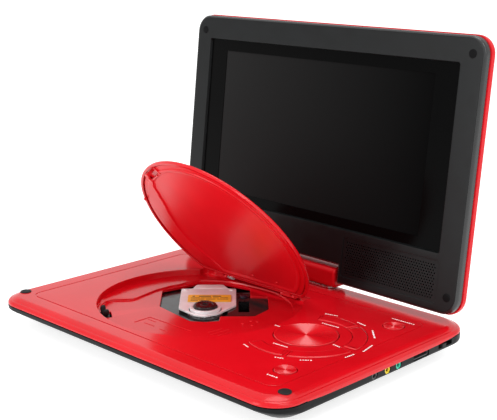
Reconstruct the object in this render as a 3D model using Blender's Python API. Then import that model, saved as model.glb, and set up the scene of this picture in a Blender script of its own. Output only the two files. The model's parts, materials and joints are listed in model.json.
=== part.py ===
"""Portable DVD player with a swivelling screen, built from its separate pieces. Metres, +Z up.

The dimensions are taken from the middle of the base. At the end everything is moved so that the
origin is on the ground under the middle of the open player. +X is its right, +Y its back.
"""

import math

import bmesh
import bpy
from mathutils import Matrix, Vector

MM = 0.001

OPEN_MIDDLE_Y = 8.9

# base
BASE_W = 240.0
BASE_D = 168.0
BASE_R = 17.0
FLOOR_Z = 2.0
PART_Z = 14.4
TOP_Z = 19.0
WALL = 2.0
SIDE_TUCK = 11.0
FRONT_TUCK = 15.2
SIDE_BAND_Z = 9.4
FRONT_BAND_Z = 11.4
GAP = 0.3

# disc well and lid
WELL_X = -21.8
WELL_Y = -1.1
WELL_R = 63.8
WELL_FLOOR = 13.0
LID_R = 63.4
LID_CHORD = 44.0
RECESS = (-68.5, 24.9, 49.6)
LID_AXIS_Y = 46.5
LID_AXIS_Z = 17.9
LID_OPEN = 53.8
LATCH_X = -55.2
LATCH_Y = -50.6

# disc drive, laid out along a diagonal of the base
HUB_X = -18.6
HUB_Y = -0.2
DISC_R = 61.0
ROOF_Z = 16.6
DRIVE_TURN = 45.0

# keys
PAD_X = 65.6
PAD_Y = -1.4
PAD_ROCK_Z = 15.8

# screen and its two-way hinge
HINGE_Y = 76.1
HINGE_Z = 26.2
LEAN = 6.0
SWIVEL = -1.6
SCREEN_W = 240.0
SCREEN_BOTTOM = -2.8
SCREEN_TOP = 159.1
SCREEN_FRONT = -5.9
SCREEN_SPLIT = -0.9
SCREEN_BACK = 7.6
SCREEN_R = 11.0
BLOCK_W = 53.0
NOTCH_W = 54.4
NOTCH_TOP = 8.9
SHAFT_R = 2.2

COLOURS = {
    "red": ((0.62, 0.006, 0.012), 0.22, 0.0),
    "black": ((0.012, 0.012, 0.013), 0.42, 0.0),
    "rubber": ((0.015, 0.015, 0.016), 0.8, 0.0),
    "glass": ((0.004, 0.004, 0.005), 0.12, 0.0),
    "steel": ((0.62, 0.63, 0.65), 0.3, 1.0),
    "silver": ((0.78, 0.78, 0.8), 0.35, 0.9),
    "label": ((0.8, 0.45, 0.02), 0.5, 0.0),
    "yellow": ((0.85, 0.6, 0.05), 0.4, 0.0),
    "green": ((0.05, 0.5, 0.3), 0.4, 0.0),
    "board": ((0.02, 0.16, 0.06), 0.5, 0.0),
    "cell": ((0.1, 0.16, 0.3), 0.5, 0.0),
    "lens": ((0.25, 0.4, 0.6), 0.05, 0.0),
    "grey": ((0.12, 0.12, 0.125), 0.45, 0.0),
}


def clear_scene():
    for obj in list(bpy.data.objects):
        bpy.data.objects.remove(obj, do_unlink=True)


def material(slot):
    found = bpy.data.materials.get(slot)
    if found:
        return found
    colour, rough, metal = COLOURS[slot]
    mat = bpy.data.materials.new(slot)
    mat.use_nodes = True
    shader = mat.node_tree.nodes["Principled BSDF"]
    shader.inputs["Base Color"].default_value = (*colour, 1.0)
    shader.inputs["Roughness"].default_value = rough
    shader.inputs["Metallic"].default_value = metal
    return mat


def rounded_rect(x0, x1, y0, y1, r, steps=5):
    """A rounded rectangle's corners in order, as (x, y)."""
    r = max(min(r, (x1 - x0) / 2 - 0.05, (y1 - y0) / 2 - 0.05), 0.05)
    centres = [
        (x1 - r, y1 - r, 0),
        (x0 + r, y1 - r, 90),
        (x0 + r, y0 + r, 180),
        (x1 - r, y0 + r, 270),
    ]
    points = []
    for cx, cy, start in centres:
        for k in range(steps + 1):
            a = math.radians(start + 90.0 * k / steps)
            points.append((cx + r * math.cos(a), cy + r * math.sin(a)))
    return points


def circle(cx, cy, r, steps):
    turn = 2 * math.pi / steps
    return [(cx + r * math.cos(k * turn), cy + r * math.sin(k * turn)) for k in range(steps)]


def sector(cx, cy, r0, r1, a0, a1, steps):
    """A crescent between two radii and two angles in degrees."""
    angles = [math.radians(a0 + (a1 - a0) * k / steps) for k in range(steps + 1)]
    outer = [(cx + r1 * math.cos(a), cy + r1 * math.sin(a)) for a in angles]
    inner = [(cx + r0 * math.cos(a), cy + r0 * math.sin(a)) for a in reversed(angles)]
    return outer + inner


def new_object(name, bm, slot):
    bmesh.ops.recalc_face_normals(bm, faces=bm.faces)
    mesh = bpy.data.meshes.new(name)
    bm.to_mesh(mesh)
    bm.free()
    obj = bpy.data.objects.new(name, mesh)
    bpy.context.scene.collection.objects.link(obj)
    if slot:
        mesh.materials.append(material(slot))
    return obj


def loft(name, loops, slot=None, close=False):
    """A solid through rings of points, each ring a list of (x, y, z) in mm. close joins last to first."""
    bm = bmesh.new()
    rings = [[bm.verts.new(Vector(p) * MM) for p in loop] for loop in loops]
    pairs = list(zip(rings, rings[1:]))
    if close:
        pairs.append((rings[-1], rings[0]))
    for low, high in pairs:
        n = len(low)
        for k in range(n):
            bm.faces.new((low[k], low[(k + 1) % n], high[(k + 1) % n], high[k]))
    if not close:
        bm.faces.new(rings[0])
        bm.faces.new(rings[-1])
    return new_object(name, bm, slot)


def at_z(points, z):
    return [(x, y, z) for x, y in points]


def prism(name, points, z0, z1, slot=None):
    return loft(name, [at_z(points, z0), at_z(points, z1)], slot)


def box(name, x0, x1, y0, y1, z0, z1, slot=None):
    return prism(name, [(x0, y0), (x1, y0), (x1, y1), (x0, y1)], z0, z1, slot)


def turned(name, cx, cy, profile, slot=None, steps=32):
    """A solid turned about a vertical line. profile holds (radius, z) from bottom to top."""
    return loft(name, [at_z(circle(cx, cy, r, steps), z) for r, z in profile], slot)


def tube(name, cx, cy, profile, slot=None, steps=32):
    """A ring turned about a vertical line, from a closed profile of (radius, z)."""
    loops = [at_z(circle(cx, cy, r, steps), z) for r, z in profile]
    return loft(name, loops, slot, close=True)


def rod_x(name, x0, x1, y, z, r, slot=None, steps=16):
    ring = [(y + r * math.cos(a), z + r * math.sin(a)) for a in angles_of(steps)]
    return loft(name, [[(x, p, q) for p, q in ring] for x in (x0, x1)], slot)


def angles_of(steps):
    return [2 * math.pi * k / steps for k in range(steps)]


def combine(obj, other, operation, solver="EXACT"):
    """Cuts or adds another solid, then drops it."""
    mod = obj.modifiers.new("join", "BOOLEAN")
    mod.operation = operation
    mod.solver = solver
    mod.object = other
    other.hide_render = True
    other.display_type = "WIRE"
    graph = bpy.context.evaluated_depsgraph_get()
    mesh = bpy.data.meshes.new_from_object(obj.evaluated_get(graph))
    obj.modifiers.clear()
    old = obj.data
    obj.data = mesh
    mesh.name = obj.name
    bpy.data.meshes.remove(old)
    bpy.data.objects.remove(other, do_unlink=True)
    return obj


def cut(obj, other):
    return combine(obj, other, "DIFFERENCE")


def add(obj, other):
    return combine(obj, other, "UNION")


def move(obj, matrix):
    obj.data.transform(matrix)
    obj.data.update()
    return obj


def set_origin(obj, x, y, z):
    """Puts the object's own origin on its joint's axis without moving its shape."""
    place = Vector((x, y, z)) * MM
    obj.data.transform(Matrix.Translation(-place))
    obj.location = place
    return obj


def smooth(obj, angle=35):
    for face in obj.data.polygons:
        face.use_smooth = True
    obj.data.set_sharp_from_angle(angle=math.radians(angle))
    return obj


def base_ring(z, side, front, grow=0.0):
    """The base's outline at a height, tucked in from its widest by side and front."""
    s = side - grow
    f = front - grow
    outline = rounded_rect(
        -BASE_W / 2 + s, BASE_W / 2 - s, -BASE_D / 2 + f, BASE_D / 2 - s, BASE_R - 0.6 * s
    )
    return at_z(outline, z)


# ---- base shells ----


def make_bottom_shell():
    slope = FRONT_TUCK / (FRONT_BAND_Z - FLOOR_Z)
    mid_front = slope * (FRONT_BAND_Z - SIDE_BAND_Z)
    inner_z = FLOOR_Z + WALL
    loops = [
        base_ring(FLOOR_Z, SIDE_TUCK, FRONT_TUCK),
        base_ring(SIDE_BAND_Z, 0.3, mid_front),
        base_ring(SIDE_BAND_Z + 0.6, 0.0, mid_front - 0.7),
        base_ring(FRONT_BAND_Z, 0.0, 0.2),
        base_ring(PART_Z - GAP / 2, 0.0, 0.0),
        base_ring(PART_Z - GAP / 2, WALL, WALL),
        base_ring(FRONT_BAND_Z + 1.2, WALL, WALL),
        base_ring(SIDE_BAND_Z + 1.0, WALL, mid_front + WALL + 0.6),
        base_ring(inner_z, SIDE_TUCK, FRONT_TUCK + 0.2),
    ]
    shell = loft("base_bottom_shell", loops, "black")
    for x, y in FEET:
        cut(shell, turned("recess", x, y, [(6.4, FLOOR_Z - 1), (6.4, FLOOR_Z + 1.0)], steps=20))
    for x, y in SCREWS:
        cut(shell, turned("hole", x, y, [(2.0, FLOOR_Z - 1), (2.0, FLOOR_Z + 3)], steps=12))
    for y, r in JACK_HOLES:
        cut(shell, rod_x("hole", BASE_W / 2 - 8, BASE_W / 2 + 2, y, JACK_Z, r + GAP, steps=16))
    cut(shell, box("slot", 112, 122, USB_Y - 7.2, USB_Y + 7.2, JACK_Z - 1.9, JACK_Z + 1.9))
    cut(shell, box("slot", 112, 122, SWITCH_Y - 6.5, SWITCH_Y + 6.5, 11.0, 13.6))
    return smooth(shell)


FEET = [(-92.0, -56.0), (92.0, -56.0), (-96.0, 62.0), (96.0, 62.0)]
SCREWS = [(-80.0, -58.0), (80.0, -58.0), (-84.0, 62.0), (84.0, 62.0)]
JACK_Z = 12.0
JACK_HOLES = [(-8.0, 2.3), (3.3, 2.2), (13.0, 2.2)]
USB_Y = 34.0
SWITCH_Y = 57.0


def top_ring(z, inset):
    return base_ring(z, inset, inset)


def deck_points(points):
    """Turns points given along the drive's own diagonal axes into base x and y."""
    c = math.cos(math.radians(DRIVE_TURN))
    s = math.sin(math.radians(DRIVE_TURN))
    return [(HUB_X + u * c - v * s, HUB_Y + u * s + v * c) for u, v in points]


def deck_turn():
    place = Matrix.Translation(Vector((HUB_X, HUB_Y, 0)) * MM)
    return place @ Matrix.Rotation(math.radians(DRIVE_TURN), 4, "Z")


OPENING = [
    (-28.6, 6.0),
    (-8.7, -21.0),
    (0.3, -22.5),
    (9.0, -21.0),
    (9.2, -12.5),
    (30.4, -12.5),
    (39.4, 0.5),
    (39.4, 24.5),
    (28.2, 26.0),
    (28.2, 42.5),
    (11.5, 52.5),
    (-5.2, 54.5),
    (-28.8, 38.5),
]

PLATE = [
    (-16.6, 2.2),
    (-11.6, -4.2),
    (-6.1, -10.6),
    (0.4, -12.6),
    (7.9, -8.2),
    (19.2, 7.6),
    (19.2, 40.5),
    (14.3, 40.5),
    (10.9, 48.5),
    (-7.0, 48.5),
    (-9.4, 40.5),
    (-16.6, 40.5),
]

KEY_SPANS = [(70.5, 116.0), (2.5, 66.5), (-66.5, -2.5), (-116.0, -70.5)]
ROUND_KEYS = [(92.0, -47.6), (92.0, 45.2)]


def well_outline(r, chord, steps=48):
    """The well's circle with its back cut off straight along the hinge."""
    half = math.degrees(math.asin((chord - WELL_Y) / r))
    start = math.radians(180 - half)
    sweep = math.radians(180 + 2 * half)
    points = []
    for k in range(steps + 1):
        a = start + sweep * k / steps
        points.append((WELL_X + r * math.cos(a), WELL_Y + r * math.sin(a)))
    return points


def well_plan(grow):
    """The well with the wider recess behind it where the lid is hinged."""
    left, right, back = RECESS
    corners = [(right + grow, LID_CHORD - 2), (right + grow, back + grow)]
    corners += [(left - grow, back + grow), (left - grow, LID_CHORD - 2)]
    return well_outline(WELL_R + grow, LID_CHORD - 2, 40) + corners


def undercut(grow):
    """Where the back of a disc lies, under the strip of shell behind the lid's hinge."""
    points = []
    for k in range(21):
        a = math.radians(40 + 100 * k / 20)
        r = DISC_R + grow
        points.append((HUB_X + r * math.cos(a), HUB_Y + r * math.sin(a)))
    return points


def make_top_shell():
    ceiling = TOP_Z - WALL
    loops = [
        top_ring(ceiling, 7.0),
        top_ring(ceiling - 1.2, 3.4),
        top_ring(PART_Z + GAP / 2, WALL),
        top_ring(PART_Z + GAP / 2, 0.0),
        top_ring(15.7, 0.3),
        top_ring(17.2, 2.0),
        top_ring(18.5, 4.0),
        top_ring(TOP_Z, 6.0),
    ]
    shell = loft("base_top_shell", loops, "red")
    add(shell, prism("cup", well_plan(1.6), WELL_FLOOR - 1.6, TOP_Z - 0.8))
    add(shell, prism("cup", undercut(1.6), WELL_FLOOR - 1.6, TOP_Z - 0.9))
    cut(shell, prism("well", well_plan(0.0), WELL_FLOOR, TOP_Z + 1))
    cut(shell, prism("undercut", undercut(0.0), WELL_FLOOR, ROOF_Z))
    pocket = box("pocket", -5.4, 5.4, -4.0, 4.6, WELL_FLOOR - 3, WELL_FLOOR + 1)
    turn = Matrix.Translation(Vector((LATCH_X, LATCH_Y, 0)) * MM)
    turn = turn @ Matrix.Rotation(latch_angle(), 4, "Z")
    cut(shell, move(pocket, turn))
    cut(shell, prism("opening", deck_points(OPENING), WELL_FLOOR - 3, WELL_FLOOR + 1))
    for x in EARS:
        add(shell, box("ear", x - 1.0, x + 1.0, LID_AXIS_Y, RECESS[2] + 0.8, ROOF_Z + 0.1, 18.8))
        add(shell, rod_x("ear", x - 0.98, x + 0.98, LID_AXIS_Y, LID_AXIS_Z, 1.4, steps=12))
    cut(shell, rod_x("bore", EARS[0] - 3, EARS[3] + 3, LID_AXIS_Y, LID_AXIS_Z, 0.95, steps=12))
    cut(shell, turned("hole", PAD_X, PAD_Y, [(18.9, 14.0), (18.9, 21.0)], steps=40))
    for a0, a1 in KEY_SPANS:
        slot = sector(PAD_X, PAD_Y, 25.9, 34.9, a0 - 0.6, a1 + 0.6, 10)
        cut(shell, prism("slot", slot, 14.0, 21.0))
    for x, y in ROUND_KEYS:
        cut(shell, turned("hole", x, y, [(6.5, 14.0), (6.5, 21.0)], steps=24))
    for x in (-111.0, 111.0):
        cut(shell, turned("seat", x, BUMPER_Y, [(3.8, TOP_Z - 0.9), (3.8, TOP_Z + 1)], steps=20))
    groove = rounded_rect(-104.4, 104.4, -69.4, 61.4, 7.0, 4)
    inside = rounded_rect(-103.6, 103.6, -68.6, 60.6, 6.2, 4)
    loops = [at_z(groove, TOP_Z - 0.4), at_z(groove, 20.0), at_z(inside, 20.0), at_z(inside, TOP_Z - 0.4)]
    cut(shell, loft("groove", loops, close=True))
    cut(shell, turned("post", 0, HINGE_Y, [(4.3, 14.0), (4.3, 21.0)], steps=20))
    return smooth(shell)


def latch_angle():
    """The latch faces the middle of the well."""
    return math.atan2(WELL_Y - LATCH_Y, WELL_X - LATCH_X) - math.pi / 2


EARS = [WELL_X - 35.0, WELL_X - 25.4, WELL_X + 25.4, WELL_X + 35.0]
BUMPER_Y = -68.6


def make_base_trim():
    for name, (x, y) in zip(("front_left", "front_right", "back_left", "back_right"), FEET):
        smooth(turned(f"foot_{name}", x, y, [(5.2, 0.0), (6.0, 0.7), (6.0, 2.7)], "rubber", 20))
    for name, (x, y) in zip(("front_left", "front_right", "back_left", "back_right"), SCREWS):
        profile = [(3.2, FLOOR_Z - 0.9), (3.2, FLOOR_Z - 0.1), (1.6, FLOOR_Z - 0.1), (1.6, 9.0)]
        smooth(turned(f"base_screw_{name}", x, y, profile, "steel", 12))
    for side, x in (("left", -111.0), ("right", 111.0)):
        profile = [(3.5, TOP_Z - 0.6), (3.5, TOP_Z + 0.3), (2.8, TOP_Z + 0.8)]
        smooth(turned(f"base_bumper_{side}", x, BUMPER_Y, profile, "rubber", 20))


def make_electronics():
    box("battery_pack", -42, 42, -66, -30, 4.5, 10.6, "cell")
    board = box("main_board", 46, 110.5, -62, 66, 6.6, 8.2, "board")
    cut(board, box("notch", 76, 112, -63, -50, 5, 10))
    cut(board, box("notch", 76, 112, 54, 68, 5, 10))
    for name, (y, r), slot in zip(("dc_jack", "av_jack", "phones_jack"), JACK_HOLES, JACK_SLOTS):
        jack = box(name, 104.0, 114.6, y - 3.6, y + 3.6, 9.2, 15.2, slot)
        add(jack, rod_x("nose", 114, 119.6, y, JACK_Z, r, steps=16))
        cut(jack, rod_x("bore", 108, 121, y, JACK_Z, r * 0.6, steps=12))
        smooth(jack)
    socket = box("usb_socket", 103.0, 119.2, USB_Y - 6.8, USB_Y + 6.8, JACK_Z - 1.5, JACK_Z + 1.5, "steel")
    cut(socket, box("mouth", 106, 121, USB_Y - 6.3, USB_Y + 6.3, JACK_Z - 1.0, JACK_Z + 1.0))
    switch = box("power_switch", 117.2, 121.0, SWITCH_Y - 4.0, SWITCH_Y - 0.5, 11.3, 13.3, "black")
    add(switch, box("slider", 112.0, 117.8, SWITCH_Y - 4.5, SWITCH_Y, 10.4, 13.3))
    set_origin(switch, 117, SWITCH_Y - 2.25, 12.3)


JACK_SLOTS = ("grey", "yellow", "green")


# ---- disc drive ----


def make_drive():
    turn = deck_turn()
    frame = prism("traverse_frame", FRAME, 8.6, 10.6, "grey")
    cut(frame, box("window", WAY[0], WAY[1], -10.5, 62.0, 7, 12))
    cut(frame, turned("hole", 0, 0, [(11.3, 7.0), (11.3, 12.0)], steps=24))
    add(frame, prism("deck", DECK_COVER, 10.3, 11.9))
    cut(frame, box("tunnel", 18.8, 32.0, -10.5, 62.0, 7, 11.3))
    cut(frame, box("lens_slot", 20.6, 27.4, -2.0, 62.0, 7, 13))
    for u in RODS:
        for v in (-13.4, 62.2):
            add(frame, box("rail_block", u - 2.0, u + 2.0, v, v + 2.4, 5.0, 9.4))
        cut(frame, move(rod_y("bore", -20, 70, 1.3), at(u, 0, ROD_Z)))
    add(frame, box("screw_block", SCREW_U - 2.0, SCREW_U + 2.0, 60.4, 62.4, 5.0, 9.4))
    cut(frame, move(rod_y("bore", 55, 70, 1.5), at(SCREW_U, 0, ROD_Z)))
    move(frame, turn)

    motor = turned("spindle_motor", 0, 0, [(10.9, 4.6), (10.9, 11.0), (6.0, 11.0), (6.0, 12.2)], "steel", 24)
    cut(motor, turned("bore", 0, 0, [(1.25, 7.0), (1.25, 14.0)], steps=12))
    move(smooth(motor), turn)

    hub_profile = [
        (1.1, 8.0),
        (1.1, 12.6),
        (7.4, 12.6),
        (9.6, 14.3),
        (9.6, 14.9),
        (7.3, 14.9),
        (7.1, 16.2),
        (5.6, 16.8),
        (1.6, 16.8),
        (1.6, 16.3),
    ]
    hub = turned("turntable_hub", HUB_X, HUB_Y, hub_profile, "black", 24)
    set_origin(smooth(hub), HUB_X, HUB_Y, 14)

    plate = prism("drive_cover_plate", PLATE, 12.2, 13.4, "silver")
    cut(plate, turned("hole", 0, 0, [(10.2, 10), (10.2, 15)], steps=24))
    for u, v in PLATE_POSTS:
        add(plate, turned("post", u, v, [(1.5, 10.9), (1.5, 12.6)], steps=10))
    move(smooth(plate), turn)
    label = box("caution_label", -11.6, 16.0, 12.8, 26.6, 13.7, 13.85, "label")
    move(label, turn)

    for side, u in zip(("left", "right"), RODS):
        rod = rod_y(f"guide_rod_{side}", -13.2, 64.4, 1.1, "steel", 10)
        move(rod, turn @ at(u, 0, ROD_Z))
        smooth(rod)

    sled = box("pickup_sled", 19.2, 31.6, LENS_V - 9, LENS_V + 9, 5.2, 11.0, "black")
    for u in RODS:
        add(sled, box("ear", u - 2.4, u + 2.4, LENS_V - 8, LENS_V + 8, 4.8, 8.4))
        cut(sled, move(rod_y("bore", 0, 60, 1.3), at(u, 0, ROD_Z)))
    add(sled, box("arm", 35.0, SCREW_U + 2.2, LENS_V - 3, LENS_V + 3, 4.6, 8.4))
    cut(sled, move(rod_y("nut", 20, 46, 1.6), at(SCREW_U, 0, ROD_Z)))
    cut(sled, turned("seat", LENS_U, LENS_V, [(3.3, 9.8), (3.3, 13)], steps=20))
    move(sled, turn)
    set_origin(smooth(sled), *lens_place(), 8)
    lens = turned("objective_lens", LENS_U, LENS_V, [(3.0, 10.0), (3.0, 11.3), (2.3, 11.9), (0.9, 12.2)], "lens", 20)
    move(smooth(lens), turn)

    ring = [(1.0, -8.0), (1.0, -4.0)]
    for k in range(15):
        ring += [(1.0, 4.0 * k - 3.6), (1.35, 4.0 * k - 3.0), (1.35, 4.0 * k - 1.6)]
    ring += [(1.0, 57.0), (1.0, 62.0)]
    loops = [[(r * math.cos(a), y, r * math.sin(a)) for a in angles_of(8)] for r, y in ring]
    screw = loft("lead_screw", loops, "steel")
    move(screw, turn @ at(SCREW_U, 0, ROD_Z))
    c = deck_points([(SCREW_U, 0)])[0]
    set_origin(smooth(screw), c[0], c[1], ROD_Z)
    motor = box("sled_motor", SCREW_U - 2.6, SCREW_U + 2.6, -16.0, -8.3, 4.3, 8.3, "steel")
    move(motor, turn)


FRAME = [
    (-31.0, 4.0),
    (-11.0, -24.5),
    (11.0, -24.5),
    (13.0, -15.5),
    (38.0, -15.5),
    (43.0, -6.0),
    (43.0, 60.0),
    (38.0, 66.0),
    (12.0, 66.0),
    (-7.0, 58.0),
    (-31.0, 41.0),
]
DECK_COVER = [(14.0, -12.1), (30.2, -12.1), (39.0, 0.7), (39.0, 24.1), (14.0, 25.5)]
WAY = (14.6, 36.4)
RODS = (17.4, 33.6)
ROD_Z = 6.6
SCREW_U = 39.2
LENS_U = 24.0
LENS_V = 30.0
PLATE_POSTS = [(-14.4, 6.0), (-14.4, 36.0), (11.8, 18.0), (10.0, 44.0)]


def lens_place():
    return deck_points([(LENS_U, LENS_V)])[0]


def rod_y(name, y0, y1, r, slot=None, steps=12):
    ring = [(r * math.cos(a), r * math.sin(a)) for a in angles_of(steps)]
    return loft(name, [[(p, y, q) for p, q in ring] for y in (y0, y1)], slot)


# ---- keys ----


def make_keys():
    profile = [(17.0, 16.2), (18.4, 16.2), (18.4, 19.3), (17.7, 19.8)]
    pad = turned("nav_pad", PAD_X, PAD_Y, profile, "red", 40)
    set_origin(smooth(pad), PAD_X, PAD_Y, PAD_ROCK_Z)
    profile = [(5.0, 13.4), (5.0, 14.8), (2.4, 15.8)]
    gimbal = turned("nav_gimbal", PAD_X, PAD_Y, profile, "rubber", 16)
    set_origin(smooth(gimbal), PAD_X, PAD_Y, PAD_ROCK_Z)
    for name, (a0, a1) in zip(("upper_back", "upper_front", "lower_back", "lower_front"), KEY_SPANS):
        low = sector(PAD_X, PAD_Y, 26.3, 34.5, a0, a1, 10)
        high = sector(PAD_X, PAD_Y, 26.7, 34.1, a0 + 0.8, a1 - 0.8, 10)
        key = loft(f"arc_key_{name}", [at_z(low, 15.8), at_z(low, 19.1), at_z(high, 19.5)], "red")
        a = math.radians((a0 + a1) / 2)
        set_origin(smooth(key), PAD_X + 30.4 * math.cos(a), PAD_Y + 30.4 * math.sin(a), 17)
    for name, (x, y) in zip(("round_key_front", "round_key_back"), ROUND_KEYS):
        key = turned(name, x, y, [(6.1, 15.8), (6.1, 19.2), (5.6, 19.6)], "red", 24)
        set_origin(smooth(key), x, y, 17)


# ---- lid and latch ----


def lid_turn():
    axis = Vector((0, LID_AXIS_Y, LID_AXIS_Z)) * MM
    spin = Matrix.Rotation(math.radians(-LID_OPEN), 4, "X")
    return Matrix.Translation(axis) @ spin @ Matrix.Translation(-axis)


def lid_ring(inset, z, chord_inset=None):
    back = inset if chord_inset is None else chord_inset
    return at_z(well_outline(LID_R - inset, LID_CHORD - back, 40), z)


def make_lid():
    turn = lid_turn()
    cover = loft(
        "disc_lid_cover",
        [
            lid_ring(14, 19.1, 12),
            lid_ring(6, 18.8, 5),
            lid_ring(1.6, 18.2),
            lid_ring(1.6, 17.0),
            lid_ring(0, 17.0),
            lid_ring(0, 18.9),
            lid_ring(0.8, 19.5),
            lid_ring(6, 19.9, 5),
            lid_ring(14, 20.2, 12),
        ],
        "red",
    )
    for x in (EARS[0] + 1.3, EARS[2] + 1.3):
        arm = box("arm", x, x + 7.0, LID_CHORD - 1.0, LID_AXIS_Y, 16.9, 18.3)
        add(cover, arm)
        add(cover, rod_x("barrel", x - 0.01, x + 7.01, LID_AXIS_Y, LID_AXIS_Z, 1.3, steps=12))
        add(cover, rod_x("pin", x - 2.2, x + 9.2, LID_AXIS_Y, LID_AXIS_Z, 0.7, steps=12))
    place = at(LATCH_X, LATCH_Y, 0) @ Matrix.Rotation(latch_angle(), 4, "Z")
    tongue = box("tongue", -1.3, 1.3, -1.1, 1.1, 13.6, 19.2)
    add(tongue, box("hook", -1.1, 1.1, -1.5, 1.5, 13.7, 14.6))
    add(cover, move(tongue, place))
    move(cover, turn)
    set_origin(smooth(cover), WELL_X, LID_AXIS_Y, LID_AXIS_Z)
    panel = loft(
        "disc_lid_panel",
        [
            lid_ring(13.4, 17.7, 9.4),
            lid_ring(11.4, 17.1, 7.4),
            lid_ring(2.4, 17.1, 4.6),
            lid_ring(2.4, 17.6, 4.6),
            lid_ring(8, 18.1, 8),
            lid_ring(16, 18.5, 14),
        ],
        "red",
    )
    cut(panel, move(box("latch_pocket", -8.0, 8.0, -7.0, 2.6, 16.0, 19.4), place))
    move(panel, turn)
    smooth(panel)

    turns = 4
    per = 10
    loops = []
    for k in range(turns * per + 1):
        a = 2 * math.pi * k / per
        x = EARS[1] + 1.8 + 4.8 * k / (turns * per)
        loops.append(wire_ring(x, LID_AXIS_Y, LID_AXIS_Z, a, 1.05, 0.2))
    loft("lid_spring", loops, "steel")


def wire_ring(x, y, z, a, r, wire):
    """One round section of a coil's wire."""
    ring = []
    for b in angles_of(5):
        reach = r + wire * math.cos(b)
        ring.append((x + wire * math.sin(b), y + reach * math.cos(a), z + reach * math.sin(a)))
    return ring


def make_latch():
    place = Matrix.Translation(Vector((LATCH_X, LATCH_Y, 0)) * MM)
    place = place @ Matrix.Rotation(latch_angle(), 4, "Z")
    housing = box("latch_housing", -5.0, 5.0, -4.6, 3.4, 6.0, 11.0, "black")
    add(housing, box("neck", -5.0, 5.0, -3.2, 3.4, 10.0, 13.2))
    cut(housing, box("slot", -4.4, 4.4, -1.9, 1.9, 8.0, 15.0))
    cut(housing, rod_y("bore", -6, 6, 0.6))
    move(housing, place)
    for side, sign in (("left", -1.0), ("right", 1.0)):
        line = [(0.7, 9.0), (2.9, 9.0), (3.3, 12.6), (4.6, 15.2), (5.2, 16.6), (5.0, 17.5)]
        line += [(4.2, 17.9), (3.4, 17.5), (3.0, 16.4), (2.4, 14.2), (2.1, 12.6), (0.7, 10.6)]
        loops = [[(sign * x, y, z) for x, z in line] for y in (-1.2, 1.6)]
        jaw = loft(f"latch_jaw_{side}", loops, "black")
        move(jaw, place)
        pivot = place @ (Vector((sign * 1.8, 0, 9.8)) * MM)
        set_origin(jaw, *(pivot / MM))


# ---- screen and hinge ----


def screen_turn(lean=LEAN):
    place = Matrix.Translation(Vector((0, HINGE_Y, HINGE_Z)) * MM)
    swivel = Matrix.Rotation(math.radians(SWIVEL), 4, "Z")
    return place @ swivel @ Matrix.Rotation(math.radians(-lean), 4, "X")


def screen_ring(depth, inset):
    """The screen's outline at a depth behind the hinge line, in its own upright frame."""
    outline = rounded_rect(
        -SCREEN_W / 2 + inset,
        SCREEN_W / 2 - inset,
        SCREEN_BOTTOM + inset,
        SCREEN_TOP - inset,
        max(SCREEN_R - 0.5 * inset, 3.0),
        6,
    )
    return [(x, depth, z) for x, z in outline]


def notch_box(grow):
    half = NOTCH_W / 2 + grow
    return box("notch", -half, half, -20, 20, SCREEN_BOTTOM - 20, NOTCH_TOP + grow)


def hollow(shell, cavity):
    cut(cavity, notch_box(WALL))
    cut(shell, cavity)
    cut(shell, notch_box(0.0))
    cut(shell, rod_x("bore", -40, 40, 0, 0, SHAFT_R + GAP, steps=16))
    return shell


WINDOW = (-105.2, 103.2, 33.1, 142.8)
ACTIVE = (-89.7, 85.9, 39.6, 135.4)


def screen_box(name, x0, x1, z0, z1, d0, d1, slot=None):
    return box(name, x0, x1, d0, d1, z0, z1, slot)


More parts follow.
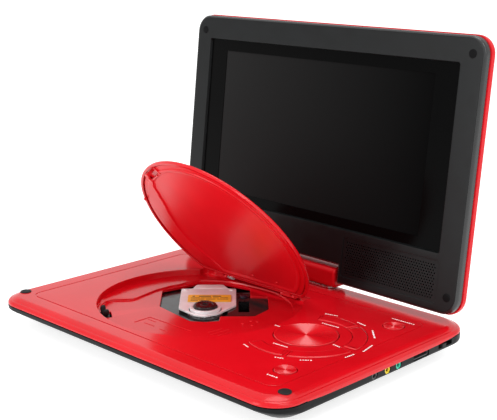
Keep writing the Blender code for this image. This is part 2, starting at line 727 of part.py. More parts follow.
def make_screen():
    turn = screen_turn()
    bezel = loft(
        "screen_bezel",
        [
            screen_ring(SCREEN_FRONT, 3.0),
            screen_ring(SCREEN_FRONT + 0.9, 1.2),
            screen_ring(SCREEN_FRONT + 2.4, 0.3),
            screen_ring(SCREEN_SPLIT, 0.0),
        ],
        "black",
    )
    cavity = loft("cavity", [screen_ring(SCREEN_FRONT + 1.7, 4.0), screen_ring(3, WALL)])
    hollow(bezel, cavity)
    cut(bezel, screen_box("window", *WINDOW, -10, -2))
    for x, z in PADS:
        seat = move(rod_y("seat", SCREEN_FRONT - 1, SCREEN_FRONT + 0.9, 2.9), at(x, 0, z))
        cut(bezel, seat)
    for sign in (-1, 1):
        for k in range(6):
            z = 7.4 + 3.6 * k
            cut(bezel, screen_box("slot", *sorted((sign * 34, sign * 102)), z, z + 1.6, -10, -2))
    move(smooth(bezel), turn)
    set_origin(bezel, 0, HINGE_Y, HINGE_Z)

    rear = loft(
        "screen_rear_cover",
        [
            screen_ring(SCREEN_SPLIT + GAP, 0.0),
            screen_ring(2.0, 0.2),
            screen_ring(4.4, 2.4),
            screen_ring(6.4, 6.5),
            screen_ring(SCREEN_BACK, 13.0),
        ],
        "red",
    )
    cavity = loft(
        "cavity",
        [screen_ring(-4, WALL), screen_ring(2.0, WALL), screen_ring(4.0, 5.5), screen_ring(5.8, 14.0)],
    )
    hollow(rear, cavity)
    move(smooth(rear), turn)

    x0, x1, z0, z1 = WINDOW
    mask = screen_box("lcd_frame", x0 - 2, x1 + 2, z0 - 2, z1 + 2, -3.9, -3.4, "black")
    cut(mask, screen_box("view", *ACTIVE, -10, 5))
    move(mask, turn)
    x0, x1, z0, z1 = ACTIVE
    panel = screen_box("lcd_panel", x0 - 4, x1 + 4, z0 - 4, z1 + 4, -3.2, 1.2, "glass")
    move(panel, turn)

    for side, sign in (("left", -1), ("right", 1)):
        speaker = rounded_speaker(f"speaker_{side}", sign * 68)
        move(smooth(speaker), turn)
    for name, (x, z) in zip(("top_left", "top_right", "bottom_left", "bottom_right"), PADS):
        pad = loft(
            f"screen_bumper_{name}",
            [
                screen_circle(x, z, 2.1, SCREEN_FRONT - 0.5),
                screen_circle(x, z, 2.6, SCREEN_FRONT - 0.1),
                screen_circle(x, z, 2.6, SCREEN_FRONT + 0.6),
            ],
            "rubber",
        )
        move(smooth(pad), turn)


def at(x, y, z):
    return Matrix.Translation(Vector((x, y, z)) * MM)


PADS = [(-111.0, 148.3), (111.0, 148.3), (-112.0, 8.6), (112.0, 8.6)]


def screen_circle(x, z, r, depth, steps=16):
    return [(p, depth, q) for p, q in circle(x, z, r, steps)]


def rounded_speaker(name, x):
    outline = rounded_rect(x - 17, x + 17, 8.5, 26.5, 8.5, 4)
    small = rounded_rect(x - 12, x + 12, 12, 23, 5, 4)
    rings = [(outline, -3.6), (outline, -1.6), (small, -1.2), (small, 4.6)]
    return loft(name, [[(p, d, q) for p, q in ring] for ring, d in rings], "grey")


def make_hinge():
    place = screen_turn(0.0)
    line = rounded_rect(-6.2, 6.8, -5.6, 7.4, 3.2, 4)
    half = BLOCK_W / 2
    tight = rounded_rect(-5.2, 5.8, -4.6, 6.4, 2.4, 4)
    loops = [
        [(-half, y, z) for y, z in tight],
        [(-half + 1.0, y, z) for y, z in line],
        [(half - 1.0, y, z) for y, z in line],
        [(half, y, z) for y, z in tight],
    ]
    block = loft("hinge_block", loops, "red")
    for sign in (-1, 1):
        cut(block, rod_x("bore", *sorted((sign * 14, sign * 30)), 0, 0, SHAFT_R + 0.1, steps=16))
    cut(block, turned("post", 0, 0, [(3.7, -10), (3.7, -1.0)], steps=20))
    move(smooth(block), place)
    set_origin(block, 0, HINGE_Y, HINGE_Z)

    outline = rounded_rect(-22.5, 22.5, -4.6, 5.0, 4.6, 4)
    plate = prism("swivel_plate", outline, 19.3 - HINGE_Z, 20.35 - HINGE_Z, "steel")
    cut(plate, turned("hole", 0, 0, [(3.7, -10), (3.7, 0)], steps=20))
    move(smooth(plate), place)

    profile = [(5.2, -14.2), (5.2, -12.6), (3.5, -12.6), (3.5, -1.3)]
    post = turned("swivel_post", 0, 0, profile, "steel", 20)
    move(smooth(post), place)

    for side, sign in (("left", -1), ("right", 1)):
        shaft = rod_x(f"tilt_shaft_{side}", *sorted((sign * 14.3, sign * 33.0)), 0, 0, SHAFT_R, "steel", 16)
        move(smooth(shaft), place)


clear_scene()
make_bottom_shell()
make_top_shell()
make_base_trim()
make_electronics()
make_drive()
make_keys()
make_lid()
make_latch()
make_screen()
make_hinge()
for piece in bpy.data.objects:
    piece.location.y -= OPEN_MIDDLE_Y * MM
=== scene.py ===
import json
import math

import bmesh
import bpy
from mathutils import Matrix, Vector


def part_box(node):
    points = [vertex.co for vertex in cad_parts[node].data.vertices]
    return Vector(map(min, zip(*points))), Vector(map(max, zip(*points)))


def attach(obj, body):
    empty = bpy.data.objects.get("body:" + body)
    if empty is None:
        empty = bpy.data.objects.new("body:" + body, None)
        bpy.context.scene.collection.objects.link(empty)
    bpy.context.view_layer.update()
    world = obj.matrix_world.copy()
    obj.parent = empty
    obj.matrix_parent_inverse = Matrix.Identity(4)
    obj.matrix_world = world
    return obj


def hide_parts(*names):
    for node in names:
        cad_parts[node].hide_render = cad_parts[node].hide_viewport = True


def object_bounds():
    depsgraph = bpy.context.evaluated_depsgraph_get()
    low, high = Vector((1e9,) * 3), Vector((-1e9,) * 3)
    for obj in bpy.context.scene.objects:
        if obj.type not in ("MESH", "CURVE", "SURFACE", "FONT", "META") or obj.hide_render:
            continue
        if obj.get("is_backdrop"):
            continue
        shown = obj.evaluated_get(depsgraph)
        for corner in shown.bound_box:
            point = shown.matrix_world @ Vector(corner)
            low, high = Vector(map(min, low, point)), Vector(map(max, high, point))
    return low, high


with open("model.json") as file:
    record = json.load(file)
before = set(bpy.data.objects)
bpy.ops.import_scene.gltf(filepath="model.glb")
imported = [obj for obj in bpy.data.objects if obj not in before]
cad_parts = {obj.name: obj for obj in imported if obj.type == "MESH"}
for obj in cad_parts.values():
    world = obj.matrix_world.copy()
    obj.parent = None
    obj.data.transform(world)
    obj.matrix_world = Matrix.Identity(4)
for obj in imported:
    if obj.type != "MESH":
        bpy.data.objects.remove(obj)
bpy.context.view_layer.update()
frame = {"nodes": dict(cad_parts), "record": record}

# A portable DVD player, open, with its disc lid up. Everything is drawn in millimetres from the middle
# of the base, and put on the bodies' places as the CAD gives them.

# -------- places

MM = 0.001
joints = {j["name"]: j for j in frame["record"]["behaviour"]["joints"]}


def middle(node):
    low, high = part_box(node)
    return (Vector(low) + Vector(high)) / 2


BASE = middle("base_bottom_shell")
ON_BASE = Matrix.Translation((BASE.x, BASE.y, 0.0))


def in_base(point):
    """A point of the row frame in millimetres from the middle of the base."""
    return (point[0] - BASE.x) / MM, (point[1] - BASE.y) / MM, point[2] / MM


def spot(node):
    """The middle of a CAD node seen from above, in millimetres from the middle of the base."""
    return in_base(middle(node))[:2]


base_low, base_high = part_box("base_bottom_shell")
HALF_W = (base_high[0] - base_low[0]) / 2 / MM
HALF_D = (base_high[1] - base_low[1]) / 2 / MM
FLOOR_Z = base_low[2] / MM
TOP_Z = 19.0
BASE_R = 17.0
CORNERS = ("front_left", "front_right", "back_left", "back_right")

# The hub, the round pad, the lid's axis, and the well that takes a 120 mm disc.
HUB_X, HUB_Y, _ = in_base(joints["turntable_spin"]["pos_m"])
PAD_X, PAD_Y, _ = in_base(joints["nav_rock_left_right"]["pos_m"])
LID_X, LID_AXIS_Y, LID_AXIS_Z = in_base(joints["lid_hinge"]["pos_m"])
WELL_X = LID_X
WELL_Y = -1.1
WELL_R = 63.8
WELL_FLOOR = 13.0
ROOF_Z = 16.6
LID_R = 63.4
LID_CHORD = 44.0
LID_OPEN = 53.8
RECESS = (-68.5, 24.9, 49.6)  # left, right and back of the pocket behind the lid's straight edge
DISC_R = 61.0
EARS = [LID_X - 35.0, LID_X - 25.4, LID_X + 25.4, LID_X + 35.0]
jaw_a = in_base(joints["latch_left_jaw"]["pos_m"])
jaw_b = in_base(joints["latch_right_jaw"]["pos_m"])
LATCH_X = (jaw_a[0] + jaw_b[0]) / 2
LATCH_Y = (jaw_a[1] + jaw_b[1]) / 2

# The screen is drawn upright around its tilt axis: x across, z up, depth growing to the back.
tilt = joints["screen_tilt"]
SWIVEL = math.atan2(tilt["axis"][1], tilt["axis"][0])
HINGE = Matrix.Translation(tilt["pos_m"]) @ Matrix.Rotation(SWIVEL, 4, "Z")
SCREEN_LEAN = -6.0
SCREEN = HINGE @ Matrix.Rotation(math.radians(SCREEN_LEAN), 4, "X")
SCREEN_HALF = 120.0
SCREEN_BOTTOM = -2.8
SCREEN_TOP = 159.1
SCREEN_FRONT = -5.9
SCREEN_SPLIT = -0.9
SCREEN_R = 11.0
NOTCH_HALF = 27.2
NOTCH_TOP = 8.9

lid_axis = Vector((0, LID_AXIS_Y, LID_AXIS_Z)) * MM
LID = ON_BASE @ Matrix.Translation(lid_axis) @ Matrix.Rotation(math.radians(-LID_OPEN), 4, "X")
LID = LID @ Matrix.Translation(-lid_axis)


def standing(x, y, angle):
    """A frame that stands at a place and is turned about its upright axis."""
    return Matrix.Translation(Vector((x, y, 0)) * MM) @ Matrix.Rotation(angle, 4, "Z")


LATCH = standing(LATCH_X, LATCH_Y, math.atan2(WELL_Y - LATCH_Y, WELL_X - LATCH_X) - math.pi / 2)
DECK = standing(HUB_X, HUB_Y, math.radians(45))


# -------- materials

RUBBED = (0.53, 0.62)  # pointiness where an edge starts to look rubbed, and where it fully does

class Shader:
    """A Principled material with helpers for procedural detail."""

    def __init__(self, name, colour, rough, metal=0.0, **fixed):
        self.mat = bpy.data.materials.new(name)
        self.mat.use_nodes = True
        self.tree = self.mat.node_tree
        self.out = self.tree.nodes["Principled BSDF"]
        self.set("Base Color", (*colour, 1.0))
        self.set("Roughness", rough)
        self.set("Metallic", metal)
        for key, value in fixed.items():
            self.set(key.replace("_", " "), value)
        self.coords = self.node("ShaderNodeTexCoord").outputs["Object"]
        self.bump = None

    def set(self, socket, value):
        self.out.inputs[socket].default_value = value

    def node(self, kind, **values):
        made = self.tree.nodes.new(kind)
        for key, value in values.items():
            if hasattr(made, key):
                setattr(made, key, value)
            else:
                made.inputs[key.replace("_", " ")].default_value = value
        return made

    def link(self, a, b):
        self.tree.links.new(a, b)

    def texture(self, kind, result, **values):
        made = self.node(kind, **values)
        self.link(self.coords, made.inputs["Vector"])
        return made.outputs[result]

    def noise(self, scale, detail, rough=0.5):
        return self.texture("ShaderNodeTexNoise", "Fac", Scale=scale, Detail=detail, Roughness=rough)

    def spots(self, scale):
        return self.texture("ShaderNodeTexVoronoi", "Distance", Scale=scale)

    def ramp(self, value, low, high, start, end):
        """Carries value from the span start..end to the span low..high."""
        made = self.node("ShaderNodeMapRange", From_Min=start, From_Max=end, To_Min=low, To_Max=high)
        self.link(value, made.inputs["Value"])
        return made.outputs["Result"]

    def vary_colour(self, value, dark, light, start=0.3, end=0.7):
        mix = self.node("ShaderNodeMix", data_type="RGBA")
        mix.inputs["A"].default_value = (*dark, 1.0)
        mix.inputs["B"].default_value = (*light, 1.0)
        self.link(self.ramp(value, 0.0, 1.0, start, end), mix.inputs["Factor"])
        self.link(mix.outputs["Result"], self.out.inputs["Base Color"])
        return mix

    def vary_rough(self, value, low, high, start=0.3, end=0.7):
        self.link(self.ramp(value, low, high, start, end), self.out.inputs["Roughness"])

    def edge(self, mix, colour, amount):
        """Paler, rubbed edges laid over the colour so far."""
        point = self.node("ShaderNodeNewGeometry").outputs["Pointiness"]
        over = self.node("ShaderNodeMix", data_type="RGBA")
        self.link(mix.outputs["Result"], over.inputs["A"])
        over.inputs["B"].default_value = (*colour, 1.0)
        self.link(self.ramp(point, 0.0, amount, *RUBBED), over.inputs["Factor"])
        self.link(over.outputs["Result"], self.out.inputs["Base Color"])

    def relief(self, value, strength, distance):
        made = self.node("ShaderNodeBump", Strength=strength, Distance=distance)
        self.link(value, made.inputs["Height"])
        if self.bump:
            self.link(self.bump, made.inputs["Normal"])
        self.bump = made.outputs["Normal"]
        self.link(self.bump, self.out.inputs["Normal"])


def red_plastic(name, rough=0.16, bright=1.0, **fixed):
    s = Shader(name, (0.62, 0.006, 0.012), rough, IOR=1.5, **fixed)
    dark = (0.50 * bright, 0.002 * bright, 0.006 * bright)
    light = (0.56 * bright, 0.0035 * bright, 0.009 * bright)
    mix = s.vary_colour(s.noise(35.0, 3.0), dark, light)
    s.edge(mix, (0.80, 0.03, 0.04), 0.5)
    s.vary_rough(s.noise(25.0, 2.0), rough - 0.05, rough + 0.06, 0.0, 1.0)
    s.relief(s.noise(420.0, 2.0), 0.06, 0.00006)
    s.relief(s.noise(2600.0, 2.0), 0.05, 0.00002)
    return s.mat


def black_plastic(name, shade, rough, gloss, grain=5200.0, strength=0.35):
    s = Shader(name, (shade, shade, shade), rough, Specular_IOR_Level=gloss)
    dark = (shade * 0.8, shade * 0.88, shade * 0.9)
    mix = s.vary_colour(s.noise(60.0, 4.0), dark, (shade, shade * 1.2, shade * 1.3))
    s.edge(mix, (shade * 2.6, shade * 2.6, shade * 2.7), 0.5)
    s.vary_rough(s.noise(150.0, 5.0, 0.6), rough - 0.06, rough + 0.07)
    s.relief(s.spots(grain), strength, 0.00004)
    s.relief(s.noise(grain * 0.4, 3.0), strength * 0.6, 0.00003)
    return s.mat


def steel(name, colour, rough):
    s = Shader(name, colour, rough, 1.0)
    mix = s.vary_colour(s.noise(900.0, 5.0, 0.6), tuple(c * 0.82 for c in colour), colour)
    s.edge(mix, (0.9, 0.9, 0.9), 0.4)
    s.vary_rough(s.noise(540.0, 4.0), rough - 0.08, rough + 0.12)
    s.relief(s.noise(1800.0, 3.0), 0.12, 0.00002)
    return s.mat


def plain(name, colour, rough, metallic=0.0, grain=1500.0, strength=0.15, **fixed):
    s = Shader(name, colour, rough, metallic, **fixed)
    dark = tuple(c * 0.88 for c in colour)
    mix = s.vary_colour(s.noise(grain * 0.1, 4.0), dark, tuple(min(1, c * 1.1) for c in colour))
    s.edge(mix, tuple(min(1, c * 1.5 + 0.02) for c in colour), 0.4)
    s.vary_rough(s.noise(grain * 0.2, 4.0), rough - 0.05, rough + 0.08)
    s.relief(s.noise(grain, 3.0), strength, 0.00003)
    return s.mat


RED = red_plastic("red_gloss_plastic", Specular_IOR_Level=0.3)
RED_LINING = red_plastic("red_satin_plastic", 0.3, 1.1, Specular_IOR_Level=0.3)
RED_SHELL = red_plastic("red_shell_plastic", 0.28, 1.0, Specular_IOR_Level=0.12)
RED_KEY = red_plastic("red_key_plastic", 0.14)
RED_SPUN = red_plastic("red_spun_plastic", 0.19)
BLACK = black_plastic("black_textured_plastic", 0.006, 0.4, 0.1)
BEZEL = black_plastic("bezel_plastic", 0.0045, 0.36, 0.17, 4200.0, 0.3)
BEZEL_EDGE = black_plastic("bezel_edge_plastic", 0.006, 0.26, 0.6, 4200.0, 0.2)
MOULDED = (0.006, 0.006, 0.0065)
SOFT = plain("soft_black_rubber", (0.003, 0.003, 0.0033), 0.5, 0.0, 2500.0, 0.3, Specular_IOR_Level=0.06)
DARK = plain("dark_moulding", MOULDED, 0.25)
DECK_BLACK = plain(
    "deck_gloss_moulding", (0.007, 0.006, 0.0065), 0.14, 0.0, 900.0, 0.05, Specular_IOR_Level=0.38,
)
SOCKET_GREY = plain("socket_grey_moulding", (0.05, 0.05, 0.053), 0.3, 0.0, 900.0, 0.1)
RUBBER = plain("black_rubber", MOULDED, 0.6, 0.0, 2500.0, 0.4, Specular_IOR_Level=0.25)
STEEL = steel("bright_steel", (0.62, 0.62, 0.64), 0.28)
PLATE = plain("satin_plated_sheet", (0.84, 0.82, 0.83), 0.4, 0.3, 900.0, 0.06)
LABEL = plain("label_film", (0.86, 0.47, 0.03), 0.4, 0.0, 1200.0, 0.08)
INK = plain("printed_ink", (0.05, 0.035, 0.02), 0.5)
WHITE_INK = plain("white_print", (0.88, 0.86, 0.86), 0.4)
YELLOW = plain("yellow_socket", (0.86, 0.62, 0.03), 0.35)
GREEN = plain("green_socket", (0.03, 0.5, 0.33), 0.35)
BOARD = plain("green_board", (0.02, 0.15, 0.06), 0.4)
CELL = plain("cell_film", (0.09, 0.15, 0.3), 0.4)
LENS = plain("coated_lens", (0.008, 0.01, 0.022), 0.08, 0.0, 300.0, 0.02)


def window_with_painted_reflection(name, shade, rough, specular, left, cells=0.0):
    """The window's glassy black with a painted reflection: left times its shade on the left, fading to a
    darker right.
    """
    s = Shader(name, (shade, shade, shade * 1.05), rough, Specular_IOR_Level=specular)
    x = s.texture("ShaderNodeSeparateXYZ", "X")
    # Painted reflection: the colour is lighter on the left, standing in for the surroundings reflected in
    # the glass.
    s.vary_colour(x, (shade * left,) * 3, (shade * 0.4, shade * 0.4, shade * 0.42), -0.1, 0.1)
    s.vary_rough(s.noise(900.0, 4.0), rough * 0.9, rough * 1.15)
    if cells:
        s.relief(s.noise(cells, 1.0), 0.05, 0.00002)
    return s.mat


# Both carry the painted reflection, lighter on the left than on the right.
MASK = window_with_painted_reflection("window_mask_painted_reflection", 0.002, 0.16, 0.035, 1.0)
LCD = window_with_painted_reflection("lcd_surface_painted_reflection", 0.0027, 0.3, 0.007, 6.5, 3000.0)


# -------- shapes

SHARP = math.radians(32)


def rounded_rect(x0, x1, y0, y1, r, steps):
    r = max(min(r, (x1 - x0) / 2 - 0.02, (y1 - y0) / 2 - 0.02), 0.02)
    points = []
    for k, (cx, cy) in enumerate(((x1 - r, y1 - r), (x0 + r, y1 - r), (x0 + r, y0 + r), (x1 - r, y0 + r))):
        points += arc(cx, cy, r, 90 * k, 90 * k + 90, steps)
    return points


def oblong(x0, x1, y0, y1):
    return [(x0, y0), (x1, y0), (x1, y1), (x0, y1)]


def circle(cx, cy, r, steps):
    step = 2 * math.pi / steps
    return [(cx + r * math.cos(k * step), cy + r * math.sin(k * step)) for k in range(steps)]


def arc(cx, cy, r, a0, a1, steps):
    angles = [math.radians(a0 + (a1 - a0) * k / steps) for k in range(steps + 1)]
    return [(cx + r * math.cos(a), cy + r * math.sin(a)) for a in angles]


def area(points):
    ends = zip(points, points[1:] + points[:1])
    return sum(x0 * y1 - x1 * y0 for (x0, y0), (x1, y1) in ends) / 2


def around(points, k):
    """A corner of an outline between its two neighbours."""
    return [Vector(points[j % len(points)][:2]) for j in (k - 1, k, k + 1)]


def offset(points, d):
    """The outline grown outward by d (shrunk if negative)."""
    sign = 1.0 if area(points) > 0 else -1.0
    made = []
    for k in range(len(points)):
        a, b, c = around(points, k)
        u, v = (b - a).normalized(), (c - b).normalized()
        nu, nv = Vector((u.y, -u.x)), Vector((v.y, -v.x))
        p = b + (nu + nv) / max(0.35, 1.0 + nu.dot(nv)) * d * sign
        made.append((p.x, p.y))
    return made


def soften(points, r, steps=3):
    """Rounds an outline's corners with a fillet of about radius r."""
    made = []
    for k in range(len(points)):
        a, b, c = around(points, k)
        cut = min(r, (a - b).length * 0.45, (c - b).length * 0.45)
        p = b + (a - b).normalized() * cut
        q = b + (c - b).normalized() * cut
        for j in range(steps + 1):
            t = j / steps
            w = p * (1 - t) ** 2 + b * 2 * t * (1 - t) + q * t**2
            made.append((w.x, w.y))
    return made


def flat(points, z):
    return [(x, y, z) for x, y in points]


def upright(points, depth):
    """An outline drawn on the screen, at a depth behind the hinge line."""
    return [(x, depth, z) for x, z in points]


def across(points, x):
    """An outline drawn in the side view, at a place across the width."""
    return [(x, y, z) for y, z in points]


def ring(bm, loop):
    return [bm.verts.new(p) for p in loop]


def skin(bm, rings, closed=False):
    pairs = list(zip(rings, rings[1:]))
    if closed:
        pairs.append((rings[-1], rings[0]))
    for low, high in pairs:
        n = len(low)
        for k in range(n):
            bm.faces.new((low[k], low[(k + 1) % n], high[(k + 1) % n], high[k]))


def fill(bm, *rings):
    """A flat face bounded by the first ring, with the others as its holes."""
    edges = []
    for one in rings:
        for k in range(len(one)):
            pair = (one[k], one[(k + 1) % len(one)])
            edges.append(bm.edges.get(pair) or bm.edges.new(pair))
    bmesh.ops.triangle_fill(bm, use_beauty=True, edges=edges)


def loft(bm, loops, closed=False):
    """A solid through the loops, capped at both ends or closed into a hoop."""
    rings = [ring(bm, loop) for loop in loops]
    skin(bm, rings, closed)
    if not closed:
        fill(bm, rings[0])
        fill(bm, rings[-1])


def tablet(bm, outline, z0, z1, edge, steps=3):
    """A flat-topped solid with a rounded upper edge."""
    loops = [flat(outline, z0)]
    for k in range(steps + 1):
        a = math.pi / 2 * k / steps
        loops.append(flat(offset(outline, -edge * (1 - math.cos(a))), z1 - edge + edge * math.sin(a)))
    loft(bm, loops)


def turn(bm, cx, cy, profile, steps):
    """A turned solid from its (radius, height) profile."""
    loft(bm, [flat(circle(cx, cy, max(r, 0.01), steps), z) for r, z in profile])


def stroke(bm, x0, y0, x1, y1, half, z0, z1):
    """A low raised bar between two points."""
    a = Vector((x0, y0))
    b = Vector((x1, y1))
    u = (b - a).normalized()
    n = Vector((-u.y, u.x)) * half
    end = u * half * 0.5
    outline = [tuple(a - n - end), tuple(b - n + end), tuple(b + n + end), tuple(a + n - end)]
    tablet(bm, soften(outline, half * 0.5, 2), z0, z1, min(half * 0.4, 0.12), steps=2)


def add(name, data):
    obj = bpy.data.objects.new(name, data)
    bpy.context.scene.collection.objects.link(obj)
    return obj


def drawn_mesh(name, bm, place):
    """The mesh of a drawing in millimetres, put in its place."""
    bmesh.ops.recalc_face_normals(bm, faces=bm.faces)
    mesh = bpy.data.meshes.new(name)
    bm.to_mesh(mesh)
    bm.free()
    mesh.transform(place @ Matrix.Scale(MM, 4))
    return mesh


def shade(obj):
    """Smooth shading that keeps large flat faces flat where they meet small rounded edges."""
    for face in obj.data.polygons:
        face.use_smooth = True
    obj.data.set_sharp_from_angle(angle=SHARP)
    mod = obj.modifiers.new("flat_faces", "WEIGHTED_NORMAL")
    mod.keep_sharp = True
    mod.weight = 80


def piece(name, bm, body, mat, nodes=(), slot=None, place=ON_BASE):
    """Turns a drawing into a piece on a body. nodes are the CAD nodes it stands for."""
    bmesh.ops.remove_doubles(bm, verts=bm.verts, dist=0.0004)
    mesh = drawn_mesh(name, bm, place)
    mesh.materials.append(mat)
    obj = add(name, mesh)
    shade(obj)
    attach(obj, body)
    if nodes:
        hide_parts(*nodes)
    return obj


def lofted(name, loops, *where):
    """A piece that is one loft, with the rest of what piece takes."""
    bm = bmesh.new()
    loft(bm, loops)
    return piece(name, bm, *where)


def carve(obj, bm, place=ON_BASE):
    """Cuts a drawing out of a finished piece."""
    tool = add("cutter", drawn_mesh("cutter", bm, place))
    obj.modifiers.clear()
    mod = obj.modifiers.new("cut", "BOOLEAN")
    mod.solver = "EXACT"
    mod.operation = "DIFFERENCE"
    mod.object = tool
    graph = bpy.context.evaluated_depsgraph_get()
    made = bpy.data.meshes.new_from_object(obj.evaluated_get(graph))
    obj.modifiers.clear()
    old = obj.data
    obj.data = made
    made.name = obj.name
    bpy.data.meshes.remove(old)
    bpy.data.objects.remove(tool, do_unlink=True)
    shade(obj)


# -------- base

# The well's floor round its middle: (degrees, radius), and its edge: (height, growth).
LEDGE = (
    (0, 57.0), (17, 57.2), (32, 57.4), (51, 57.0), (70, 55.5), (96, 53.2), (124, 54.8), (136, 54.8),
    (145, 51.2), (156, 48.2), (172, 46.0), (187, 44.4), (199, 44.6), (204, 46.0), (207.5, 51.0),
    (210, 57.5), (214, 61.2), (222, 62.2), (330, 62.2), (346, 59.5), (360, 57.0),
)
LEDGE_EDGE = ((14.15, 0.7), (14.02, 0.2), (13.6, 0.0), (13.15, -0.1), (WELL_FLOOR, -0.4))
# The hole in the well's floor that shows the drive, in the drive's own directions.
OPENING = [
    (-28.6, 6.0), (-8.7, -21.0), (0.3, -22.5), (9.0, -21.0), (9.2, -12.5), (30.4, -12.5), (39.4, 0.5),
    (39.4, 24.5), (28.2, 26.0), (28.2, 42.0), (11.5, 52.0), (-5.2, 53.4), (-28.8, 38.0),
]
LATCH_HOLE = (-5.4, 5.4, -3.0, 4.6)
FLOOR_EDGE = ((0.2, WELL_FLOOR), (0.0, WELL_FLOOR - 0.2))
HOLE_EDGE = ((0.32, TOP_Z), (0.1, TOP_Z - 0.07), (0.0, TOP_Z - 0.3))
KEY_SPANS = {
    "upper_front": (70.5, 116.0), "upper_back": (2.5, 66.5),
    "lower_back": (-66.5, -2.5), "lower_front": (-116.0, -70.5),
}
KEY_RADII = (26.2, 34.6)
KEY_GAP = 0.5  # degrees
PAD_HOLE_R = 18.9
ROUND_HOLE_R = 6.5
ROUND_KEYS = ("round_key_front", "round_key_back")

# The shells' walls: (height, inset), and for the lower one (height, inset, inset in front).
TOP_WALL = (
    (15.6, 2.4), (14.62, 2.0), (14.62, 0.35), (14.72, 0.08), (15.0, 0.0), (15.6, 0.08), (16.2, 0.35),
    (16.75, 0.85), (17.15, 1.5), (17.28, 1.85), (17.24, 2.05), (17.3, 2.25), (17.6, 2.55), (18.2, 3.7),
    (18.65, 4.75), (18.9, 5.5), (19.0, 6.3),
)
BOTTOM_WALL = (
    (FLOOR_Z, 12.4, 16.8), (FLOOR_Z + 0.15, 11.6, 16.0), (FLOOR_Z + 0.6, 10.9, 15.3), (8.6, 1.7, 5.2),
    (9.2, 0.75, 4.3), (9.7, 0.3, 3.4), (10.3, 0.08, 2.3), (11.4, 0.0, 0.8), (12.0, 0.0, 0.2),
    (13.9, 0.0, 0.0), (14.12, 0.06, 0.06), (14.2, 0.3, 0.3), (14.2, 1.8, 1.8), (10.0, 2.4, 5.4),
    (FLOOR_Z + 1.9, 14.4, 18.8),
)
# The fine groove around the deck, and the (offset, height) of its sides.
DECK_BORDER = (-104.4, 104.4, -69.4, 61.4)
GROOVE = (
    (0.15, TOP_Z), (0.0, TOP_Z - 0.08), (-0.06, TOP_Z - 0.36), (-0.7, TOP_Z - 0.36), (-0.76, TOP_Z - 0.08),
    (-0.9, TOP_Z),
)
# The lip over the sockets: (y, drop).
LIP = ((-62.0, 0.0), (-50.0, 0.7), (-30.0, 1.0), (0.0, 1.15), (30.0, 1.15), (52.0, 0.9), (66.0, 0.0))
SOCKETS = ("dc_jack", "av_jack", "phones_jack")
SOCKET_Z = 12.4
CUT_END = 125.0  # past the right side


def base_ring(z, inset, front):
    r = BASE_R - 0.6 * inset
    return flat(rounded_rect(-HALF_W + inset, HALF_W - inset, -HALF_D + front, HALF_D - inset, r, 14), z)


def well_edge(lower=False):
    """The well's outline with the hinge recess behind it; lower follows the disc under the shell."""
    left, right, back = RECESS
    half = math.degrees(math.asin((LID_CHORD - 2 - WELL_Y) / WELL_R))
    points = arc(WELL_X, WELL_Y, WELL_R, 180 - half, 360 + half, 110)
    points += [(right + 0.1, 43.2), (right, 44.2), (right, back - 1.2), (right - 0.4, back - 0.4)]
    for k in range(25):
        x = right - 1.2 + (left - right + 2.4) * k / 24
        y = back
        room = DISC_R**2 - (x - HUB_X) ** 2
        if lower and room > 0:
            y = max(back, HUB_Y + math.sqrt(room))
        points.append((x, y))
    points += [(left + 0.4, back - 0.4), (left, back - 1.2), (left, 44.2), (left - 0.1, 43.2)]
    return points


def reach(table, a):
    """The radius a table gives at an angle, eased between its rows."""
    for (a0, r0), (a1, r1) in zip(table, table[1:]):
        if a0 <= a <= a1:
            t = (a - a0) / (a1 - a0)
            t = t * t * (3 - 2 * t)
            return r0 + (r1 - r0) * t
    return table[0][1]


def ledge_ring(outline, z, grow):
    points = []
    for x, y in outline:
        a = math.atan2(y - WELL_Y, x - WELL_X)
        r = reach(LEDGE, math.degrees(a) % 360) + grow
        points.append((WELL_X + r * math.cos(a), WELL_Y + r * math.sin(a), z))
    return points


def turned_points(matrix, points):
    moved = [matrix @ (Vector((x, y, 0)) * MM) for x, y in points]
    return [(p.x / MM, p.y / MM) for p in moved]


def lowered(bm, outline, steps, end_z):
    """A hole's rounded edge from the top face down, returned as its top ring."""
    rings = [ring(bm, flat(offset(outline, d), z)) for d, z in steps]
    rings.append(ring(bm, flat(outline, end_z)))
    skin(bm, rings)
    return rings[0]


def key_outline(a0, a1, grow):
    outer = arc(PAD_X, PAD_Y, KEY_RADII[1] + grow, a0, a1, 20)
    inner = arc(PAD_X, PAD_Y, KEY_RADII[0] - grow, a1, a0, 20)
    return soften(outer + inner, 0.9)


def side_lip(bm, side):
    """A thin lip hanging from the red shell over the tops of the sockets."""
    loops = []
    for y, drop in LIP:
        low = 14.6 - drop
        section = (
            (-0.5, 15.1), (0.0, 15.1), (0.14, 14.8), (0.2, low + 0.2), (0.12, low), (-0.05, low - 0.05),
            (-0.5, low + 0.4),
        )
        loops.append([(side * (HALF_W + x), y, z) for x, z in section])
    loft(bm, loops)


def well(bm):
    """The well's wall and stepped floor, returned as its top and floor rings."""
    upper = well_edge()
    lower = well_edge(True)
    loops = [
        flat(offset(upper, 0.45), TOP_Z), flat(offset(upper, 0.14), TOP_Z - 0.1), flat(upper, TOP_Z - 0.45),
        flat(upper, ROOF_Z), flat(lower, ROOF_Z), flat(offset(lower, -0.15), 15.1),
        flat(offset(lower, -0.5), 14.72),
    ]
    loops += [ledge_ring(lower, z, grow) for z, grow in LEDGE_EDGE]
    rings = [ring(bm, loop) for loop in loops]
    skin(bm, rings)
    return rings[0], rings[-1]


